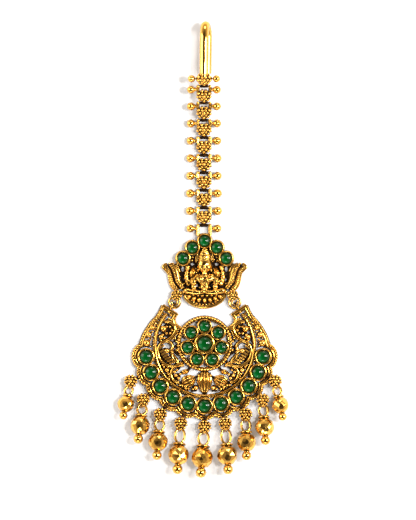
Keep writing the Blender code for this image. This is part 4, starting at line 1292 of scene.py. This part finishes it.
Form = namedtuple("Form", "place radii")
Limb = namedtuple("Limb", "knots start end")
MIDDLE_FORMS = (
    Form((0.0, 23.6, 1.82), (2.15, 2.5, 1.73)), Form((0.0, 23.1, 3.42), (0.22, 0.5, 0.26)),
    Form((0.0, 22.72, 3.45), (0.3, 0.17, 0.2)), Form((0.0, 22.25, 3.36), (0.46, 0.11, 0.14)),
    Form((0.0, 22.05, 3.3), (0.36, 0.11, 0.14)), Form((0.0, 21.6, 2.85), (0.5, 0.34, 0.4)),
    Form((0.0, 20.9, 1.9), (0.85, 0.9, 0.85)), Form((0.0, 19.7, 1.6), (2.5, 1.05, 1.1)),
    Form((0.0, 18.4, 1.6), (1.75, 1.4, 1.05)), Form((0.0, 16.9, 1.7), (1.4, 1.1, 1.0)),
)
SIDE_FORMS = (
    Form((0.7, 23.5, 3.32), (0.4, 0.16, 0.13)), Form((0.72, 23.95, 3.28), (0.48, 0.1, 0.13)),
    Form((0.95, 22.75, 2.85), (0.6, 0.55, 0.4)), Form((1.9, 23.1, 1.8), (0.34, 0.62, 0.5)),
    Form((1.95, 21.95, 1.7), (0.42, 0.48, 0.44)), Form((1.35, 19.25, 2.35), (1.0, 0.95, 0.9)),
    Form((5.05, 23.0, 1.5), (0.8, 0.42, 0.6)), Form((5.15, 22.3, 1.5), (0.72, 0.4, 0.6)),
    Form((3.2, 17.0, 2.2), (0.8, 0.85, 0.7)), Form((3.3, 18.6, 2.1), (0.66, 0.5, 0.6)),
    Form((5.1, 15.9, 1.9), (1.25, 0.72, 0.9)), Form((2.9, 15.75, 2.1), (0.9, 0.5, 0.7)),
)
LIMBS = (
    Limb(knots=((2.2, 20.1, 1.6), (3.9, 18.7, 1.5), (4.9, 17.9, 1.5)), start=0.85, end=0.7),
    Limb(knots=((4.9, 17.9, 1.5), (5.5, 19.7, 1.5), (5.3, 21.4, 1.45)), start=0.68, end=0.52),
    Limb(knots=((2.3, 19.8, 1.8), (3.2, 18.6, 1.9), (3.2, 17.3, 2.0)), start=0.8, end=0.62),
    Limb(knots=((5.3, 15.8, 2.0), (2.6, 15.3, 2.2), (0.4, 15.5, 2.2)), start=0.85, end=0.6),
)
CROWN_ROWS = 6
CROWN_FOOT = 25.45
CROWN_STEP = 0.52
CAST_VOXEL = 0.11 * MM


def clay_ball():
    ball = bmesh.new()
    bmesh.ops.create_uvsphere(ball, u_segments=20, v_segments=12, radius=1.0)
    mesh = bpy.data.meshes.new("clay ball")
    ball.to_mesh(mesh)
    ball.free()
    return mesh


CLAY = clay_ball()


def blob(shell, centre, radii):
    ball = CLAY.copy()
    spread = Matrix.Diagonal((*(radius * MM for radius in radii), 1.0))
    ball.transform(Matrix.Translation(Vector(centre) * MM) @ spread)
    shell.from_mesh(ball)
    bpy.data.meshes.remove(ball)


def crown_width(row):
    return 2.0 * math.cos(0.42 * math.pi * row / CROWN_ROWS) ** 0.9


def figure():
    """The seated figure, run together as a casting; its face is a plain calm one."""
    shell = bmesh.new()
    for form in MIDDLE_FORMS:
        blob(shell, form.place, form.radii)
    for row in range(CROWN_ROWS):
        centre = (0.0, CROWN_FOOT + CROWN_STEP * row, 1.9 - 0.06 * row)
        blob(shell, centre, (crown_width(row), 0.48, 1.3 - 0.12 * row))
    for side in (-1, 1):
        for form in SIDE_FORMS:
            x, y, z = form.place
            blob(shell, (side * x, y, z), form.radii)
        for part in LIMBS:
            path = smooth([Vector((side * x, y, z)) for x, y, z in part.knots], 5)
            for i, spot in enumerate(path):
                radius = part.start + (part.end - part.start) * i / (len(path) - 1)
                blob(shell, spot, (radius,) * 3)
    mesh = bpy.data.meshes.new("figure")
    shell.to_mesh(mesh)
    shell.free()
    body = linked("figure", mesh)
    cast = body.modifiers.new("cast", "REMESH")
    cast.mode = "VOXEL"
    cast.voxel_size = CAST_VOXEL
    soft = body.modifiers.new("soft", "SMOOTH")
    soft.iterations = 2
    made = taken(body)
    made.shade_smooth()
    return made


Cuff = namedtuple("Cuff", "x y z tilt radius")
CUFFS = (
    Cuff(5.15, 18.7, 1.5, 70.0, 0.72), Cuff(5.45, 19.6, 1.5, 80.0, 0.7),
    Cuff(5.45, 20.4, 1.5, 95.0, 0.66), Cuff(5.35, 21.2, 1.5, 97.0, 0.6),
    Cuff(3.55, 19.0, 1.55, -42.0, 0.84), Cuff(4.15, 18.5, 1.5, -42.0, 0.8),
    Cuff(3.2, 17.95, 1.95, 88.0, 0.74),
)
CUFF_PROFILE = ((0.75, -0.24), (1.1, -0.2), (1.28, 0.0), (1.1, 0.2), (0.75, 0.24))
LOOSE_GRAINS = (
    (3.6, 25.9, 0.34), (3.78, 24.85, 0.36), (2.65, 22.4, 0.34), (6.4, 17.9, 0.34), (2.6, 21.2, 0.4),
)


def necklace(piece, reach, top, drop, width):
    """A string of grains over the chest, reach wide to each side and drop deep."""
    row = []
    for i in range(9):
        angle = -1.35 + 2.7 * i / 8
        x = reach * math.sin(angle)
        y = top - drop * math.cos(angle)
        z = 3.05 - 0.45 * abs(math.sin(angle)) ** 2
        row.append((x * MM, y * MM, z * MM))
    piece.beads(smooth(row, 3), width * MM, pitch=2.2)


def ornaments(piece):
    """What is chased and soldered on the figure: crown bands, necklaces, bangles, buds and pendants."""
    for row in range(0, CROWN_ROWS, 2):
        half = crown_width(row) * 0.9
        y = CROWN_FOOT + CROWN_STEP * row
        line = []
        for x in (-1, -0.6, -0.2, 0.2, 0.6, 1):
            line.append((x * half * MM, y * MM, (3.25 - 0.18 * row - 0.8 * x * x) * MM))
        piece.beads(smooth(line, 4), 0.2 * MM, pitch=2.3)
    piece.grain(0.0, 25.85 * MM, 3.2 * MM, 0.42 * MM)
    piece.grain(0.0, (CROWN_FOOT + CROWN_STEP * CROWN_ROWS) * MM, 1.6 * MM, 0.4 * MM)
    necklace(piece, 1.5, 20.75, 0.6, 0.22)
    necklace(piece, 2.0, 20.3, 1.2, 0.18)
    piece.wire(lifted(round_path((0.0, 17.9 * MM), 0.55 * MM, 20), 2.8 * MM), 0.22 * MM, True)
    piece.grain(0.0, 17.9 * MM, 2.6 * MM, 0.26 * MM)
    belt = [(x * 1.45 * MM, 16.75 * MM, (2.85 - 0.4 * x * x) * MM) for x in (-1, -0.5, 0, 0.5, 1)]
    piece.beads(smooth(belt, 5), 0.24 * MM, pitch=2.2)
    for side in (-1, 1):
        boss = round_path((side * 1.35 * MM, 19.25 * MM), 0.6 * MM, 18)
        piece.wire(lifted(boss, 3.05 * MM), 0.32 * MM, True)
        place = (side * 3.65 * MM, 21.1 * MM)
        piece.solid(leaf(place, 3.9 * MM, 1.7 * MM, 1.4 * MM, side * 17.0, 2, base=1.3 * MM))
        for x, y, radius in LOOSE_GRAINS:
            piece.grain(side * x * MM, y * MM, 1.1 * MM, radius * MM)
        for cuff in CUFFS:
            place = Matrix.Translation((side * cuff.x * MM, cuff.y * MM, cuff.z * MM))
            place = place @ Matrix.Rotation(math.radians(side * cuff.tilt), 4, "Z") @ QUARTER_TURN
            profile = [(cuff.radius * share * MM, height * MM) for share, height in CUFF_PROFILE]
            piece.solid(turned(profile, 18, place))


def crest():
    """The crest panel with everything soldered to it, and its five stones."""
    piece = Piece("crest_panel_cast")
    piece.solid(back_plate(), OXIDE)
    for place in crest_places():
        bezel(piece, place, CREST_STONE)
        piece.rope(lifted(round_path(place, CREST_STONE.cup, 40), 1.0 * MM), 0.19 * MM, True)
    halo = Vector((0.0, 25.25 * MM))
    piece.rope(lifted(arc(halo, 2.62 * MM, 72.0, 288.0, 40), 1.45 * MM), 0.27 * MM)
    piece.wire(lifted(arc(halo, 2.12 * MM, 76.0, 284.0, 40), 1.3 * MM), 0.2 * MM)
    piece.solid(figure(), BRIGHT)
    ornaments(piece)
    lotus_seat(piece)
    for side in (-1, 1):
        wing(piece, side)
        corner = (side * 8.4 * MM, 14.45 * MM)
        granule_flower(piece, corner, 1.7 * MM, 2.4 * MM)
        jump = Vector((side * JUMP_PLACE[0], JUMP_PLACE[1]))
        along = (jump - Vector(corner)).normalized()
        hoop(piece, jump - along * JUMP_RADIUS, along)
        piece.wire(lifted(mirrored(((7.6, 14.8), (6.4, 15.3)), side), 1.1 * MM), 0.55 * MM)
        strap = mirrored(((8.6, 24.0), (7.9, 22.6), (7.5, 21.6)), side)
        piece.wire(lifted(smooth(strap, 4), 0.9 * MM), 0.32 * MM)
    frame = joint_turn(CHAIN_FOOT, LINK_HEIGHT, 0.0)
    hinge(piece, frame, 0.0, 4.05 * MM, 1.22 * MM, CREST_TOP + 1.4 * MM - CHAIN_FOOT)
    bar = [(x * MM, CREST_TOP + 1.8 * MM) for x in (-1.9, 1.9)]
    piece.wire(lifted(bar, 0.45 * MM), 0.38 * MM)
    piece.made(["crest_panel"], "antique_gold")
    for index, place in enumerate(crest_places()):
        cabochon(f"crest_stone_{index + 1}", place, CREST_STONE)


crescent()
jump_rings()
for number, drop in enumerate(DROPS):
    drop_bead(number + 1, drop)
hair_hook(*chain())
crest()


# Table, light and camera


TABLE_HALF = 2.0
TABLE_DROP = 0.06 * MM
LENS = 162.0
CAMERA_HEIGHT = 702.0 * MM


def table():
    """A white table, a little under the part so that nothing meets its surface."""
    mesh = bpy.data.meshes.new("table")
    corners = [(x * TABLE_HALF, y * TABLE_HALF, 0) for x, y in ((-1, -1), (1, -1), (1, 1), (-1, 1))]
    mesh.from_pydata(corners, [], [(0, 1, 2, 3)])
    made = linked("table", mesh)
    made.location.z = -TABLE_DROP
    paint, bench, shader = new_material("table_white")
    place = bench.node("ShaderNodeTexCoord", output=3)
    grain = bench.noise(place, 40.0)
    bench.feed(shader.inputs["Base Color"], bench.blend(grain, (0.9, 0.9, 0.9), (0.93, 0.93, 0.93)))
    shader.inputs["Roughness"].default_value = 0.9
    shader.inputs["Specular IOR Level"].default_value = 0.1
    mesh.materials.append(paint)


Lamp = namedtuple("Lamp", "name place size power")
VIEW = Vector((1.0 * MM, 25.0 * MM, 0.0))
LAMPS = (
    Lamp(name="softbox_right", place=(0.40, 0.05, 0.36), size=(0.18, 0.22), power=2.5),
    Lamp(name="softbox_left", place=(-0.44, 0.12, 0.27), size=(0.26, 0.46), power=1.6),
    Lamp(name="softbox_far", place=(0.10, 0.62, 0.36), size=(0.3, 0.12), power=0.8),
    Lamp(name="softbox_near", place=(-0.05, -0.45, 0.30), size=(0.2, 0.08), power=0.8),
    Lamp(name="spot_high", place=(0.2, 0.04, 0.46), size=(0.055, 0.065), power=1.3),
)
WORLD_RAMP = (
    (0.0, (1.0, 0.93, 0.85)),
    (0.3, (0.9, 0.82, 0.74)),
    (0.6, (0.52, 0.46, 0.4)),
    (0.85, (0.13, 0.115, 0.1)),
    (0.97, (0.03, 0.027, 0.025)),
)


def lights():
    """Softboxes round the view, and a world that is bright low down and dark overhead."""
    for lamp in LAMPS:
        data = bpy.data.lights.new(lamp.name, "AREA")
        data.shape = "RECTANGLE"
        data.size, data.size_y = lamp.size
        data.energy = lamp.power
        made = linked(lamp.name, data)
        made.location = VIEW + Vector(lamp.place)
        made.rotation_euler = (VIEW - made.location).to_track_quat("-Z", "Y").to_euler()
    world = bpy.data.worlds.new("studio")
    world.use_nodes = True
    bench = Bench(world.node_tree)
    back = world.node_tree.nodes["Background"]
    direction = bench.node("ShaderNodeTexCoord", output=0)
    height = bench.node("ShaderNodeSeparateXYZ", {}, (direction,), output=2)
    bench.feed(back.inputs["Color"], bench.ramp(height, WORLD_RAMP))
    back.inputs["Strength"].default_value = 0.9
    bpy.context.scene.world = world


def camera():
    data = bpy.data.cameras.new("camera")
    data.lens = LENS
    data.sensor_width = 36.0
    data.clip_start = 0.01
    made = linked("camera", data)
    made.location = VIEW + Vector((0.0, 0.0, CAMERA_HEIGHT))
    bpy.context.scene.camera = made


table()
lights()
camera()
bpy.context.scene.view_settings.view_transform = "Standard"
